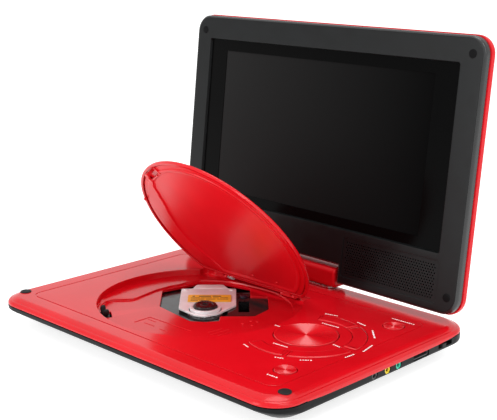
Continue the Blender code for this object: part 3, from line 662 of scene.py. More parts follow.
def build_base_top():
    bm = bmesh.new()
    shell = [ring(bm, base_ring(z, inset, inset)) for z, inset in TOP_WALL]
    skin(bm, shell)
    border = rounded_rect(*DECK_BORDER, 7.0, 8)
    cut = [ring(bm, flat(offset(border, d), z)) for d, z in GROOVE]
    skin(bm, cut)
    post = [(x, min(y, HALF_D - 6.6)) for x, y in circle(0, in_base(tilt["pos_m"])[1], 4.3, 24)]
    post = lowered(bm, post, ((0.0, TOP_Z),), 16.0)
    fill(bm, shell[-1], cut[0], post)

    well_top, floor = well(bm)
    opening = lowered(bm, soften(turned_points(DECK, OPENING), 1.2), FLOOR_EDGE, WELL_FLOOR - 1.6)
    pocket = turned_points(LATCH, oblong(*LATCH_HOLE))
    pocket = lowered(bm, soften(pocket, 0.8), FLOOR_EDGE, WELL_FLOOR - 1.6)
    fill(bm, floor, opening, pocket)

    holes = [circle(PAD_X, PAD_Y, PAD_HOLE_R, 72)]
    holes += [key_outline(a0 - KEY_GAP, a1 + KEY_GAP, 0.3) for a0, a1 in KEY_SPANS.values()]
    for node in ROUND_KEYS:
        x, y = spot(node)
        holes.append(circle(x, y, ROUND_HOLE_R, 40))
    tops = [lowered(bm, hole, HOLE_EDGE, 16.6) for hole in holes]
    fill(bm, cut[-1], well_top, *tops)
    for side in (-1.0, 1.0):
        side_lip(bm, side)
    piece("base_top", bm, "base", RED, ("base_top_shell",), "red")


def build_ears():
    """Four ears that hold the lid's axle at the back of the recess."""
    bm = bmesh.new()
    outline = arc(LID_AXIS_Y, LID_AXIS_Z, 1.35, 40, 282, 11)
    outline += [(RECESS[2] + 0.2, ROOF_Z + 0.12), (RECESS[2] + 0.2, 18.8)]
    for x in EARS:
        loft(bm, [across(outline, x - 1.0), across(outline, x + 1.0)])
    piece("lid_hinge_ears", bm, "base", RED, slot="red")


def build_floor_relief():
    """An empty outline, rows of dots and small studs standing on the well's floor."""
    bm = bmesh.new()
    foot = WELL_FLOOR - 0.1
    lines = (
        (-32.0, -45.6, -32.2, -33.4), (-32.2, -33.4, 2.6, -32.2), (11.9, -26.6, 13.2, -16.8),
        (15.6, -28.0, 17.2, -14.8), (19.4, -26.4, 20.6, -17.0),
    )
    for x0, y0, x1, y1 in lines:
        stroke(bm, x0, y0, x1, y1, 0.32, foot, WELL_FLOOR + 0.28)
    for x, y, n in ((-26.4, -36.6, 3), (-22.3, -42.0, 4), (-9.2, -42.6, 3)):
        for k in range(n):
            left = x + 2.3 * (k - n / 2)
            stroke(bm, left, y, left + 1.5, y + 0.1, 0.45, foot, WELL_FLOOR + 0.2)
    for x, y in ((15.7, -2.1), (16.2, 4.6), (19.6, 6.4), (21.8, -0.1)):
        turn(bm, x, y, ((0.9, foot), (0.8, WELL_FLOOR + 0.15), (0.4, WELL_FLOOR + 0.25)), 12)
    piece("floor_relief", bm, "base", RED, slot="red")


def side_cut(bm, outline, x):
    """A hole from x out through the right side of the base."""
    loft(bm, [across(outline, x), across(outline, CUT_END)])


def build_base_bottom():
    loops = [base_ring(z, side, front) for z, side, front in BOTTOM_WALL]
    obj = lofted("base_bottom", loops, "base", BLACK, ("base_bottom_shell",), "black")
    cutter = bmesh.new()
    for node in SOCKETS:
        side_cut(cutter, circle(spot(node)[1], SOCKET_Z, 2.5, 32), 108.0)
    y = spot("usb_socket")[1]
    side_cut(cutter, rounded_rect(y - 7.2, y + 7.2, 10.1, 13.9, 0.5, 3), 112.0)
    y = spot("power_switch")[1]
    side_cut(cutter, rounded_rect(y - 4.4, y + 8.8, 10.9, 13.7, 0.5, 3), 112.0)
    for kind, r, depth, steps in (("foot_", 6.4, 1.0, 32), ("base_screw_", 3.5, 0.9, 24)):
        for corner in CORNERS:
            x, y = spot(kind + corner)
            turn(cutter, x, y, ((r, 0.5), (r, FLOOR_Z + depth)), steps)
    carve(obj, cutter)


def build_feet_and_bumpers():
    foot = ((4.9, 0.0), (5.5, 0.12), (5.9, 0.5), (6.0, 1.2), (6.0, 2.7))
    bumper = ((3.5, 18.2), (3.5, 19.2), (3.35, 19.5), (2.95, 19.7), (2.1, 19.8), (1.0, 19.83))
    rubbers = [("foot_" + corner, "_pad", foot) for corner in CORNERS]
    rubbers += [("base_bumper_" + side, "_cap", bumper) for side in ("left", "right")]
    for node, kind, profile in rubbers:
        x, y = spot(node)
        bm = bmesh.new()
        turn(bm, x, y, profile, 40)
        piece(node + kind, bm, "base", RUBBER, (node,), "rubber")


# -------- keys and printing

RIDGE = 0.055
# The printed rows around the pad: (x, y, length, angle, bars) from the pad's middle.
PRINT_ROWS = (
    (-21.2, -0.7, 4.2, 1, 4), (-0.1, 21.6, 12.2, 4, 9), (0.9, -22.1, 10.5, 4, 8),
    (23.6, -1.1, 5.9, -6, 4), (-11.2, 35.9, 8.5, 16, 6), (11.3, 36.0, 7.4, -11, 5),
    (26.8, 27.3, 12.6, -46, 9), (37.9, 8.2, 11.6, 102, 8), (37.9, -7.4, 7.4, 86, 5),
    (25.4, -28.6, 6.8, 40, 5), (13.1, -36.1, 5.5, 22, 4), (-11.8, -36.1, 5.7, -17, 4),
)
# Rows beside the round keys: (node, x, y, length, bars) from the key's middle.
KEY_ROWS = (("round_key_back", -0.3, 10.0, 16.0, 11), ("round_key_front", 1.0, -10.7, 7.3, 5))
# Rims of the pad and the round keys: (radius, height), carried in to the middle by spun_profile.
PAD_RIM = (
    (16.6, 16.3), (18.4, 16.3), (18.45, 19.0), (18.38, 19.3), (18.2, 19.52), (17.9, 19.66), (17.5, 19.7),
)
KEY_RIM = ((5.6, 15.9), (6.1, 15.9), (6.14, 18.9), (6.08, 19.2), (5.9, 19.42), (5.6, 19.52))
KEY_EDGE = ((-0.1, 19.0), (-0.35, 19.2), (-0.8, 19.34), (-1.5, 19.42))


def spun_profile(rim, r, z, dish, rings):
    """Carries a rim in to the middle over fine turned ridges in a shallow dish."""
    profile = list(rim)
    for k in range(rings + 1):
        t = 1 - k / (rings + 0.4)
        ridge = RIDGE if k % 2 else -RIDGE
        profile.append((r * t, z - dish * (1 - t * t) + ridge))
    return profile


def build_keys():
    bm = bmesh.new()
    turn(bm, PAD_X, PAD_Y, spun_profile(PAD_RIM, 17.2, 19.62, 0.5, 86), 96)
    piece("nav_pad_disc", bm, "nav_pad", RED_SPUN, ("nav_pad",), "red")
    for node, body in zip(ROUND_KEYS, ("key_round_front", "key_round_back")):
        x, y = spot(node)
        bm = bmesh.new()
        turn(bm, x, y, spun_profile(KEY_RIM, 5.3, 19.44, 0.3, 27), 56)
        piece(node + "_cap", bm, body, RED_SPUN, (node,), "red")
    for name, span in KEY_SPANS.items():
        outline = key_outline(*span, 0.0)
        loops = [flat(outline, 15.9), flat(outline, 18.75)]
        loops += [flat(offset(outline, d), z) for d, z in KEY_EDGE]
        node = "arc_key_" + name
        lofted(node + "_cap", loops, "key_" + name, RED_KEY, (node,), "red")


def dashes(bm, x, y, length, angle, count):
    """A short run of plain printed bars in place of a word."""
    a = math.radians(angle)
    u = Vector((math.cos(a), math.sin(a)))
    step = length / count
    for k in range(count):
        start = -length / 2 + k * step
        p = Vector((x, y)) + u * start
        q = Vector((x, y)) + u * (start + step * (0.66 if k % 3 else 0.5))
        n = Vector((-u.y, u.x)) * (0.5, 0.36, 0.46, 0.4)[k % 4]
        outline = [tuple(p - n), tuple(q - n), tuple(q + n), tuple(p + n)]
        loft(bm, [flat(outline, TOP_Z + 0.008), flat(outline, TOP_Z + 0.045)])


def build_print():
    bm = bmesh.new()
    for dx, dy, length, angle, count in PRINT_ROWS:
        dashes(bm, PAD_X + dx, PAD_Y + dy, length, angle, count)
    for node, dx, dy, length, count in KEY_ROWS:
        x, y = spot(node)
        dashes(bm, x + dx, y + dy, length, 2, count)
    piece("printed_marks", bm, "base", WHITE_INK)


# -------- disc drive

PLATE_OUTLINE = [
    (-16.6, 2.2), (-11.6, -4.2), (-6.1, -10.6), (0.4, -12.6), (7.9, -8.2), (19.2, 7.6), (19.2, 40.5),
    (14.3, 40.5), (10.9, 48.5), (-7.0, 48.5), (-9.4, 40.5), (-16.6, 40.5),
]
PLATE_TOP = 13.38
PLATE_EDGE = ((0, 12.2), (0, 13.05), (-0.08, 13.25), (-0.35, PLATE_TOP))
PLATE_HOLE = ((10.5, PLATE_TOP), (10.25, 13.25), (10.2, 13.0), (10.2, 12.2))
LABEL_TOP = 13.72
# Bars on the label in place of words: (v, half height, spans of u).
LABEL_BARS = (
    (23.6, 0.85, ((-8.8, -7.2), (-4.6, 3.0), (4.2, 9.6))),
    (20.4, 0.45, ((-9.6, -4.0), (-3.2, 3.4), (4.4, 8.0), (9.0, 14.0))),
    (17.8, 0.45, ((-9.6, -1.2), (0.0, 6.0), (7.0, 14.2))),
    (15.2, 0.45, ((-9.6, -5.0), (-4.2, 2.2))),
)
# Turned profiles of the hub: (radius, height).
FLANGE = (
    (1.1, 12.75), (9.2, 12.75), (9.5, 12.9), (9.6, 13.3), (9.6, 14.6), (9.5, 14.8), (9.25, 14.88),
    (8.0, 14.88), (7.8, 14.6), (7.2, 14.5), (1.1, 14.5),
)
HUB = (
    (1.1, 14.4), (7.3, 14.4), (7.3, 15.9), (7.1, 16.25), (6.6, 16.5), (5.6, 16.68), (5.0, 16.7),
    (4.7, 16.4), (3.0, 16.4), (2.8, 16.6), (1.7, 16.6), (1.6, 16.0), (0.2, 15.9),
)
HUB_CLAW = ((4.4, -1.3), (7.75, -1.3), (7.95, 0.0), (7.75, 1.3), (4.4, 1.3))
LENS_DOME = (
    (3.0, 10.0), (3.0, 11.2), (2.85, 11.4), (2.4, 11.5), (2.3, 11.7), (1.9, 12.0), (1.2, 12.2), (0.4, 12.3),
)


def build_drive():
    place = ON_BASE @ DECK
    bm = bmesh.new()
    outline = soften(PLATE_OUTLINE, 1.4, 4)
    rings = [ring(bm, flat(offset(outline, d), z)) for d, z in PLATE_EDGE]
    hole = [ring(bm, flat(circle(0, 0, r, 56), z)) for r, z in PLATE_HOLE]
    skin(bm, rings)
    skin(bm, hole)
    fill(bm, rings[-1], hole[0])
    fill(bm, rings[0], hole[-1])
    flap = soften([(-8.6, 41.0), (13.4, 41.0), (10.4, 48.0), (-6.4, 48.0)], 1.0)
    tablet(bm, flap, 13.3, 13.62, 0.2)
    for u, v in ((-13.6, 37.2), (16.2, 37.2)):
        turn(bm, u, v, ((1.5, 13.3), (1.5, 13.6), (1.2, 13.8), (0.5, 13.86)), 20)
    piece("drive_plate", bm, "base", PLATE, ("drive_cover_plate",), "silver", place)

    bm = bmesh.new()
    tablet(bm, rounded_rect(-11.6, 16.0, 12.8, 26.6, 0.5, 3), 13.6, LABEL_TOP, 0.05)
    piece("drive_label", bm, "base", LABEL, ("caution_label",), "label", place)
    bm = bmesh.new()
    for v, half, spans in LABEL_BARS:
        for u0, u1 in spans:
            outline = oblong(u0, u1, v - half, v + half)
            loft(bm, [flat(outline, LABEL_TOP + 0.005), flat(outline, LABEL_TOP + 0.04)])
    piece("drive_label_bars", bm, "base", INK, place=place)


def build_turntable():
    bm = bmesh.new()
    turn(bm, HUB_X, HUB_Y, FLANGE, 64)
    piece("turntable_flange", bm, "turntable", PLATE, slot="silver")
    bm = bmesh.new()
    turn(bm, HUB_X, HUB_Y, HUB, 64)
    for k in range(3):
        a = math.radians(30 + 120 * k)
        u = Vector((math.cos(a), math.sin(a)))
        w = Vector((-u.y, u.x))
        outline = [tuple(Vector((HUB_X, HUB_Y)) + u * p + w * q) for p, q in HUB_CLAW]
        tablet(bm, soften(outline, 0.4, 2), 14.9, 16.3, 0.35)
    piece("turntable", bm, "turntable", DARK, ("turntable_hub",), "black")


def build_lens():
    bm = bmesh.new()
    x, y = spot("objective_lens")
    turn(bm, x, y, LENS_DOME, 40)
    piece("lens", bm, "sled", LENS, ("objective_lens",), "lens")


# A jaw of the latch, from its foot to its head: (height, x0, x1, y0, y1).
CLAW = (
    (9.0, 0.7, 2.9, -0.8, 1.0), (12.2, 2.0, 3.3, -0.8, 1.0), (13.3, 2.2, 3.7, -1.0, 1.2),
    (14.2, 2.5, 4.5, -1.4, 1.6), (15.5, 2.9, 5.2, -1.5, 1.8), (16.6, 3.1, 5.3, -1.4, 1.8),
    (17.3, 3.3, 5.2, -0.9, 1.6), (17.7, 3.6, 4.9, -0.5, 1.3), (17.9, 4.0, 4.5, 0.0, 0.8),
)
CLAW_TURN = 10
CLAW_SHIFT = 0.4


def build_latch():
    place = ON_BASE @ LATCH @ standing(0, CLAW_SHIFT, math.radians(CLAW_TURN))
    for side, sign in (("left", -1.0), ("right", 1.0)):
        loops = []
        for z, x0, x1, y0, y1 in CLAW:
            r = 0.3 * min(x1 - x0, y1 - y0)
            loops.append([(sign * x, y, z) for x, y in rounded_rect(x0, x1, y0, y1, r, 3)])
        lofted("latch_claw_" + side, loops, "jaw_" + side, RUBBER, ("latch_jaw_" + side,), "black", place)


# -------- lid

# The lid is drawn shut: (inset of the arc, height, inset of the straight edge).
LID_WALL = (
    (14, 19.1, 12), (6, 18.85, 5), (1.9, 18.5, 1.9), (1.85, 17.3, 1.85), (1.7, 17.06, 1.7),
    (1.35, 17.0, 1.35), (0.5, 17.0, 0.5), (0.15, 17.08, 0.15), (0.0, 17.35, 0.0), (0.0, 18.5, 0.0),
    (0.1, 18.9, 0.1), (0.4, 19.22, 0.4), (0.9, 19.44, 0.9), (2.5, 19.62, 2.2), (6, 19.85, 5),
    (14, 20.15, 12), (26, 20.32, 22),
)
LINING_RIM = (
    (6.2, 17.12, 2.9), (5.8, 17.25, 2.75), (5.5, 17.7, 2.6), (2.9, 17.75, 2.4), (2.6, 18.0, 2.3),
    (8, 18.25, 8), (16, 18.5, 14),
)
# The raised border inside the lid: (degrees, radius), and across its edge (growth, height).
LID_STEP = (
    (0, 59.8), (90, 59.8), (135, 43.2), (158, 43.4), (183, 43.8), (200, 45.0), (206, 46.4), (214, 49.6),
    (222, 54.0), (229, 55.6), (253, 56.0), (262, 57.4), (272, 58.4), (300, 59.0), (330, 59.4), (360, 59.8),
)
STEP_EDGE = (
    (-22.0, 18.0), (-6.0, 17.95), (-2.2, 17.85), (-1.2, 17.7), (-0.6, 17.4), (0.0, 17.18), (0.7, 17.12),
)
STEP_BACK = 39.9
LID_CORNER = 1.2
LID_POCKET = (-8, 8, -7, 3.9)
# The tongue's blocks, under the lid in the latch's directions: (x0, x1, y0, y1, upper z, lower z).
TONGUE = (
    (-1.3, 1.3, -1.1, 1.1, 18.7, 13.6), (-1.1, 1.1, -1.5, 1.5, 14.6, 13.8),
    (-9.2, -8.2, -1.0, 5.0, 17.9, 16.8), (8.2, 9.2, -1.0, 5.0, 17.9, 16.8),
    (-4.4, 4.4, 4.1, 4.9, 17.9, 16.85),
)


def lid_outline(inset, chord):
    r = LID_R - inset
    half = math.degrees(math.asin((LID_CHORD - chord - WELL_Y) / r))
    return soften_ends(arc(WELL_X, WELL_Y, r, 180 - half, 360 + half, 100))


def soften_ends(points):
    """Rounds the two corners where the arc meets the chord, and divides the chord."""
    r = LID_CORNER
    drop = Vector((0, -0.02))
    first, second = Vector(points[0]), Vector(points[1])
    last, before = Vector(points[-1]), Vector(points[-2])
    along = (first - last).normalized()
    points[0] = tuple(first + (second - first).normalized() * 0.5)
    points[-1] = tuple(last + (before - last).normalized() * 0.5)
    points += [tuple(last + along * r * 0.4 + drop), tuple(last + along * r)]
    chord = (first - last).length
    for k in range(1, 12):
        points.append(tuple(last + along * (r + (chord - 2 * r) * k / 12)))
    points += [tuple(first - along * r), tuple(first - along * r * 0.4 + drop)]
    return points


def lid_step(outline, grow, z):
    """The edge of the raised border inside the lid, wide on the left."""
    points = []
    for x, y, _ in outline:
        a = math.atan2(y - WELL_Y, x - WELL_X)
        edge = Vector((x - WELL_X, y - WELL_Y)).length
        r = min(reach(LID_STEP, math.degrees(a) % 360), edge - 1.0) + grow
        points.append((WELL_X + r * math.cos(a), min(WELL_Y + r * math.sin(a), STEP_BACK + 0.8 * grow), z))
    return points


def hanging(bm, outline, z0, z1):
    """A block hanging from z0 down to z1, with a small chamfer below."""
    outline = soften(outline, 0.3, 2)
    loft(bm, [flat(outline, z0), flat(outline, z1 + 0.12), flat(offset(outline, -0.12), z1)])


def build_lid():
    bm = bmesh.new()
    loft(bm, [flat(lid_outline(inset, chord), z) for inset, z, chord in LID_WALL])
    for x in (EARS[0] + 1.3, EARS[2] + 1.3):
        arm = rounded_rect(x, x + 7.0, LID_CHORD - 1.0, LID_AXIS_Y, 0.2, 2)
        tablet(bm, arm, 16.9, 18.3, 0.2, steps=2)
        for x0, x1, r in ((x, x + 7.0, 1.3), (x - 2.2, x + 9.2, 0.7)):
            barrel = circle(LID_AXIS_Y, LID_AXIS_Z, r, 24)
            loft(bm, [across(barrel, x0), across(barrel, x1)])
    piece("lid_shell", bm, "lid", RED, ("disc_lid_cover",), "red", LID)

    loops = [flat(lid_outline(inset, chord), z) for inset, z, chord in LINING_RIM]
    loops = [lid_step(loops[0], grow, z) for grow, z in STEP_EDGE] + loops
    obj = lofted("lid_lining", loops, "lid", RED_LINING, ("disc_lid_panel",), "red", LID)
    pocket = bmesh.new()
    loft(pocket, [flat(oblong(*LID_POCKET), z) for z in (16.0, 19.4)])
    carve(obj, pocket, LID @ LATCH)
    bm = bmesh.new()
    for x0, x1, y0, y1, z0, z1 in TONGUE:
        hanging(bm, oblong(x0, x1, y0, y1), z0, z1)
    piece("lid_tongue", bm, "lid", RED, slot="red", place=LID @ LATCH)

    bm = bmesh.new()
    for x, y in ((-17.0, 36.2), (4.0, 36.4), (-50.0, 33.0)):
        turn(bm, x, y, ((1.0, 18.05), (0.9, 17.5), (0.5, 17.35)), 16)
    turn(bm, -80.3, -21.4, ((1.1, 17.3), (1.1, 16.4), (0.9, 15.9), (0.3, 15.75)), 16)
    piece("lid_ribs", bm, "lid", RED, slot="red", place=LID)


# -------- screen

WINDOW = (-105.2, 103.2, 33.1, 142.8)  # x0, x1, z0, z1 of the opening in the bezel
VIEW = (-89.7, 85.9, 39.6, 135.4)  # the same of the picture area
GRILLE_X = (31.0, 104.6)
GRILLE_Z = (3.4, 28.6)
GRILLE_FLOOR = SCREEN_FRONT + 0.45
PITCH = 1.9
HOLE_R = 0.52
HOLE_DEPTH = 0.9
FILLET_STEPS = 8


def behind(start, rows):
    """Rows whose depths are counted from start."""
    return tuple((start + depth, inset) for depth, inset in rows)


# Walls of the three shells: (depth behind the split or the front, inset).
BEZEL_WALL = behind(SCREEN_SPLIT, ((0.1, 1.9), (0, 1.2), (-0.12, 0.85), (-0.4, 0.7)))
BEZEL_WALL += behind(SCREEN_FRONT, ((2.2, 0.76), (1.2, 0.95), (0.55, 1.4), (0.15, 2.1), (0, 2.9)))
EDGE_BAND = behind(SCREEN_SPLIT, ((-0.35, 1.6), (-0.35, 0.68)))
EDGE_BAND += behind(SCREEN_FRONT, ((2.2, 0.72), (1.2, 0.91), (0.55, 1.36), (0.16, 2.04), (0.4, 2.6)))
BACK_WALL = behind(SCREEN_SPLIT, ((0.05, 2.0), (0.18, 0.9), (0.3, 0.5), (0.42, 0.1), (0.7, 0.0)))
BACK_WALL += (
    (2.3, 0.04), (3.1, 0.26), (4.0, 1.0), (4.9, 2.5), (5.8, 4.6), (6.5, 6.8), (7.1, 9.6), (7.45, 12.0),
    (7.6, 15.0),
)
# Edges of the window and of the sunk grilles: (depth behind the front, offset).
WINDOW_EDGE = behind(SCREEN_FRONT, ((0, 0.7), (0.15, 0.25), (0.6, 0.0), (2.0, -0.4)))
GRILLE_EDGE = behind(SCREEN_FRONT, ((0, 0.35), (0.08, 0.1), (0.42, 0.0), (0.45, -0.5)))
PADS = (
    ("top_left", -111.0, 148.3), ("top_right", 111.0, 148.3), ("bottom_left", -112.0, 8.6),
    ("bottom_right", 112.0, 8.6),
)
PAD_DOME = behind(SCREEN_FRONT, ((0.1, 2.6), (-0.1, 2.6), (-0.32, 2.45), (-0.46, 2.0), (-0.5, 0.9)))


def fillets(corners):
    """A right-angled outline from (x, z, radius) corners."""
    made = []
    for k, (_, _, r) in enumerate(corners):
        a, b, c = around(corners, k)
        u = (a - b).normalized() * r
        v = (c - b).normalized() * r
        for j in range(FILLET_STEPS + 1):
            t = math.pi / 2 * j / FILLET_STEPS
            p = b + u + v - v * math.cos(t) - u * math.sin(t)
            made.append((p.x, p.y))
    return made


def screen_outline(inset):
    """The screen's outline, with the notch below for the hinge block."""
    w = SCREEN_HALF - inset
    low = SCREEN_BOTTOM + inset
    high = SCREEN_TOP - inset
    r = max(SCREEN_R - 0.5 * inset, 3.0)
    notch = NOTCH_HALF + inset
    step = NOTCH_TOP + inset
    return fillets([
        (w, low, r), (w, high, r), (-w, high, r), (-w, low, r),
        (-notch, low, 1.0), (-notch, step, 0.8), (notch, step, 0.8), (notch, low, 1.0),
    ])


def build_screen_front():
    bm = bmesh.new()
    body = [ring(bm, upright(screen_outline(inset), depth)) for depth, inset in BEZEL_WALL]
    skin(bm, body)
    window = rounded_rect(*WINDOW, 1.4, 4)
    hole = [ring(bm, upright(offset(window, d), depth)) for depth, d in WINDOW_EDGE]
    skin(bm, hole)
    panels = []
    for sign in (-1, 1):
        x0, x1 = sorted((sign * GRILLE_X[0], sign * GRILLE_X[1]))
        outline = rounded_rect(x0, x1, *GRILLE_Z, 2.4, 5)
        panel = [ring(bm, upright(offset(outline, d), depth)) for depth, d in GRILLE_EDGE]
        skin(bm, panel)
        perforate(bm, panel[-1], x0 + 1.6, x1 - 1.6, GRILLE_Z[0] + 1.8, GRILLE_Z[1] - 1.2)
        panels.append(panel[0])
    fill(bm, body[-1], hole[0], *panels)
    piece("screen_front", bm, "screen", BEZEL, ("screen_bezel",), "black", SCREEN)


def perforate(bm, border, x0, x1, z0, z1):
    """A staggered field of small blind holes inside a border ring, each in its own cell of the panel."""
    high = PITCH * 0.866
    rows = int((z1 - z0) / high)
    cols = int((x1 - x0) / PITCH) - 1
    x0 = (x0 + x1 - (cols + 0.5) * PITCH) / 2
    h, v = PITCH / 2, high / 2
    rim = [(h, 0), (h, v), (0, v), (-h, v), (-h, 0), (-h, -v), (0, -v), (h, -v)]
    spokes = [(HOLE_R * math.cos(math.atan2(b, a)), HOLE_R * math.sin(math.atan2(b, a))) for a, b in rim]
    verts = {}

    def shared(x, z):
        key = (round(x, 3), round(z, 3))
        if key not in verts:
            verts[key] = bm.verts.new((x, GRILLE_FLOOR, z))
        return verts[key]

    used = {}
    for j in range(rows):
        for k in range(cols):
            cx = x0 + (k + 0.5 + 0.5 * (j % 2)) * PITCH
            cz = z0 + (j + 0.5) * high
            cell = [shared(cx + a, cz + b) for a, b in rim]
            mouth = ring(bm, upright([(cx + a, cz + b) for a, b in spokes], GRILLE_FLOOR))
            end = ring(bm, upright([(cx + a, cz + b) for a, b in spokes], GRILLE_FLOOR + HOLE_DEPTH))
            skin(bm, [cell, mouth, end])
            bm.faces.new(end)
            for i in range(8):
                pair = frozenset((cell[i], cell[(i + 1) % 8]))
                used[pair] = used.get(pair, 0) + 1
    edges = [bm.edges.get(tuple(pair)) for pair, count in used.items() if count == 1]
    edges += [bm.edges.get((border[k], border[(k + 1) % len(border)])) for k in range(len(border))]
    bmesh.ops.triangle_fill(bm, use_beauty=True, edges=edges)


def build_screen_shells():
    bm = bmesh.new()
    loft(bm, [upright(screen_outline(inset), depth) for depth, inset in EDGE_BAND], closed=True)
    piece("screen_front_edge", bm, "screen", BEZEL_EDGE, slot="black", place=SCREEN)
    loops = [upright(screen_outline(inset), depth) for depth, inset in BACK_WALL]
    lofted("screen_back", loops, "screen", RED_SHELL, ("screen_rear_cover",), "red", SCREEN)


def build_screen_window():
    """The black mask around the picture area, and the panel behind it."""
    x0, x1, z0, z1 = WINDOW
    bm = bmesh.new()
    outer = rounded_rect(x0 + 0.4, x1 - 0.4, z0 + 0.4, z1 - 0.4, 1.0, 4)
    inner = rounded_rect(*VIEW, 0.3, 4)
    steps = ((outer, -3.4), (outer, -3.9), (inner, -3.9), (inner, -3.55))
    rings = [ring(bm, upright(outline, depth)) for outline, depth in steps]
    skin(bm, rings[:2])
    skin(bm, rings[2:])
    fill(bm, rings[1], rings[2])
    piece("screen_mask", bm, "screen", MASK, ("lcd_frame",), "black", SCREEN)
    x0, x1, z0, z1 = VIEW
    outline = rounded_rect(x0 - 3, x1 + 3, z0 - 3, z1 + 3, 0.6, 3)
    loops = [upright(outline, 1.0), upright(outline, -3.3), upright(offset(outline, -0.3), -3.5)]
    lofted("screen_panel", loops, "screen", LCD, ("lcd_panel",), "glass", SCREEN)


def build_screen_pads():
    for name, x, z in PADS:
        loops = [upright(circle(x, z, r, 28), depth) for depth, r in PAD_DOME]
        lofted("screen_pad_" + name, loops, "screen", SOFT, ("screen_bumper_" + name,), "rubber", SCREEN)


# -------- hinge

BLOCK_HALF = 26.5
# The block's rounded ends: (distance from the end, inset).
BLOCK_END = ((0.0, 1.6), (0.12, 1.0), (0.45, 0.5), (1.0, 0.15), (1.7, 0.0))


def build_hinge():
    line = rounded_rect(-6.2, 6.8, -5.6, 7.4, 3.2, 8)
    loops = [across(offset(line, -inset), d - BLOCK_HALF) for d, inset in BLOCK_END]
    loops += [across(offset(line, -inset), BLOCK_HALF - d) for d, inset in reversed(BLOCK_END)]
    lofted("hinge_cover", loops, "swivel_hinge", RED_SHELL, ("hinge_block",), "red", HINGE)
    axis_z = in_base(tilt["pos_m"])[2]
    outline = rounded_rect(-22.5, 22.5, -4.6, 5.0, 4.6, 8)
    edge = ((-0.2, 19.3), (0, 19.4), (0, 20.2), (-0.15, 20.35))
    loops = [flat(offset(outline, d), z - axis_z) for d, z in edge]
    lofted("swivel_washer", loops, "swivel_hinge", STEEL, ("swivel_plate",), "steel", HINGE)


# -------- sockets

# Profiles lying along X, from the socket's outer face: (x, radius).
SOCKET_RING = ((-3.0, 2.3), (-0.4, 2.3), (-0.1, 2.2), (0, 2.05), (0, 1.75), (-0.15, 1.62), (-3.0, 1.6))
# A dark cup a little way inside each socket's hole: painted shade for the hole's dark depth.
SOCKET_SHADE_CUP = ((-2.4, 1.58), (-0.9, 1.58), (-0.9, 1.2), (-2.2, 1.1))
POWER_PIN = ((-2.4, 0.5), (-0.9, 0.5), (-0.6, 0.35), (-0.5, 0.1))


def collar(bm, face, y, profile, closed=False):
    """A turned shape lying along X in the side of the base."""
    loft(bm, [across(circle(y, SOCKET_Z, r, 36), face + x) for x, r in profile], closed)


def build_sockets():
    """Moulded rings and contacts seen in the right edge of the lower shell, with dark cups in the holes as
    painted shade.
    """
    for node, mat, slot in zip(SOCKETS, (SOCKET_GREY, YELLOW, GREEN), ("grey", "yellow", "green")):
        face = in_base(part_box(node)[1])[0]
        y = spot(node)[1]
        bm = bmesh.new()
        collar(bm, face, y, SOCKET_RING, True)
        piece(node + "_ring", bm, "base", mat, slot=slot)
        bm = bmesh.new()
        # The dark cup is painted shade standing in for the inside of the hole; the power pin is a real
        # contact.
        collar(bm, face, y, SOCKET_SHADE_CUP)
        if node == "dc_jack":
            collar(bm, face, y, POWER_PIN)
        piece(node + "_painted_shade_mouth", bm, "base", DARK, slot="black")


# -------- CAD nodes that stay on show

SHOWN = (
    (STEEL, ["base_screw_" + corner for corner in CORNERS]),
    (STEEL, ("spindle_motor", "sled_motor", "lead_screw", "guide_rod_left", "guide_rod_right")),
    (STEEL, ("lid_spring", "swivel_post", "tilt_shaft_left", "tilt_shaft_right")),
    (CELL, ("battery_pack",)),
    (BOARD, ("main_board",)),
    (SOCKET_GREY, ("dc_jack", "usb_socket")),
    (YELLOW, ("av_jack",)),
    (GREEN, ("phones_jack",)),
    (RUBBER, ("power_switch", "nav_gimbal", "latch_housing")),
    (DECK_BLACK, ("traverse_frame",)),
    (DARK, ("pickup_sled", "speaker_left", "speaker_right")),
)


def dress_nodes():
    for mat, names in SHOWN:
        for name in names:
            obj = frame["nodes"][name]
            for slot in obj.material_slots:
                slot.material = mat
            if not obj.material_slots:
                obj.data.materials.append(mat)
            mod = obj.modifiers.new("edges", "BEVEL")
            mod.width = 0.12 * MM
            mod.segments = 2
            mod.limit_method = "ANGLE"
            mod.angle_limit = math.radians(40)
            mod.use_clamp_overlap = True


# -------- studio, in metres

FLOOR_HALF = 14.0
LAMP_TARGET = Vector((0.0, 0.0, 0.04))
# (name, place, width, height, watts)
LAMPS = (
    ("overhead", (0.0, 0.1, 1.0), 0.5, 0.5, 3.0),
    ("front_strip", (-0.35, -1.1, 0.4), 0.5, 0.75, 5.0),
    ("right_side", (1.2, -0.1, 0.7), 0.7, 0.7, 2.4),
    ("rim_light", (0.62, -0.12, 0.95), 0.42, 0.3, 1.8),
)
CAMERA_SPOT = (0.4427, -0.4342, 0.2343)  # from the middle of the base
CAMERA_ANGLES = (44.046, 14.52, 0.288)  # azimuth, elevation and roll


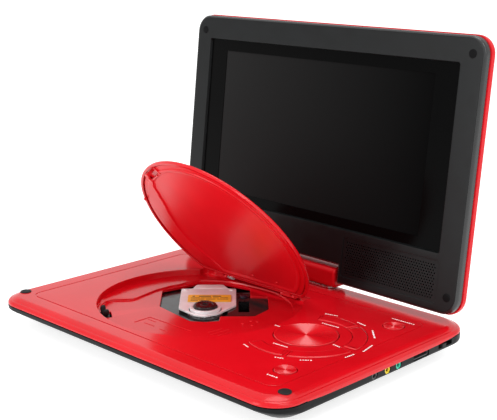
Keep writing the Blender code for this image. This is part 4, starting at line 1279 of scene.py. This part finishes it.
def add_floor():
    white = (1.0, 1.0, 1.0, 1.0)
    s = Shader("backdrop_paint", (0.62, 0.62, 0.62), 0.75, Emission_Color=white, Emission_Strength=0.74)
    s.vary_colour(s.noise(2.0, 2.0), (0.61, 0.61, 0.61), (0.63, 0.63, 0.63))
    s.vary_rough(s.noise(6.0, 2.0), 0.72, 0.8)
    bm = bmesh.new()
    bm.faces.new(ring(bm, flat(oblong(-FLOOR_HALF, FLOOR_HALF, -FLOOR_HALF, FLOOR_HALF), 0)))
    mesh = bpy.data.meshes.new("studio_floor")
    bm.to_mesh(mesh)
    bm.free()
    mesh.materials.append(s.mat)
    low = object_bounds()[0][2]
    floor = add("studio_floor", mesh)
    floor.location.z = low - 0.0002
    floor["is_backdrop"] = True


def add_light():
    world = bpy.data.worlds.new("studio")
    bpy.context.scene.world = world
    world.use_nodes = True
    sky = world.node_tree.nodes["Background"]
    sky.inputs["Color"].default_value = (1, 1, 1, 1)
    sky.inputs["Strength"].default_value = 1.02
    for name, place, width, height, power in LAMPS:
        data = bpy.data.lights.new(name, "AREA")
        data.shape = "RECTANGLE"
        data.size = width
        data.size_y = height
        data.energy = power
        lamp = add(name, data)
        lamp.location = place
        lamp.rotation_euler = (LAMP_TARGET - Vector(place)).to_track_quat("-Z", "Y").to_euler()
        lamp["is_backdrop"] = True


def add_camera():
    data = bpy.data.cameras.new("camera")
    data.lens = 78.07
    data.sensor_width = 36.0
    data.shift_x = -0.0107
    data.shift_y = 0.0201
    data.clip_start = 0.05
    data.clip_end = 60.0
    camera = add("camera", data)
    azimuth, elevation, roll = (math.radians(a) for a in CAMERA_ANGLES)
    aim = Matrix.Rotation(azimuth, 4, "Z") @ Matrix.Rotation(math.pi / 2 - elevation, 4, "X")
    aim = aim @ Matrix.Rotation(roll, 4, "Z")
    x, y, z = CAMERA_SPOT
    camera.matrix_world = Matrix.Translation((BASE.x + x, BASE.y + y, z)) @ aim
    bpy.context.scene.camera = camera
    bpy.context.scene.view_settings.view_transform = "Standard"


for build in (
    build_base_bottom, build_base_top, build_ears, build_floor_relief, build_feet_and_bumpers, build_keys,
    build_print, build_drive, build_turntable, build_lens, build_latch, build_lid, build_screen_front,
    build_screen_shells, build_screen_window, build_screen_pads, build_hinge, build_sockets, dress_nodes,
    add_floor, add_light, add_camera,
):
    build()
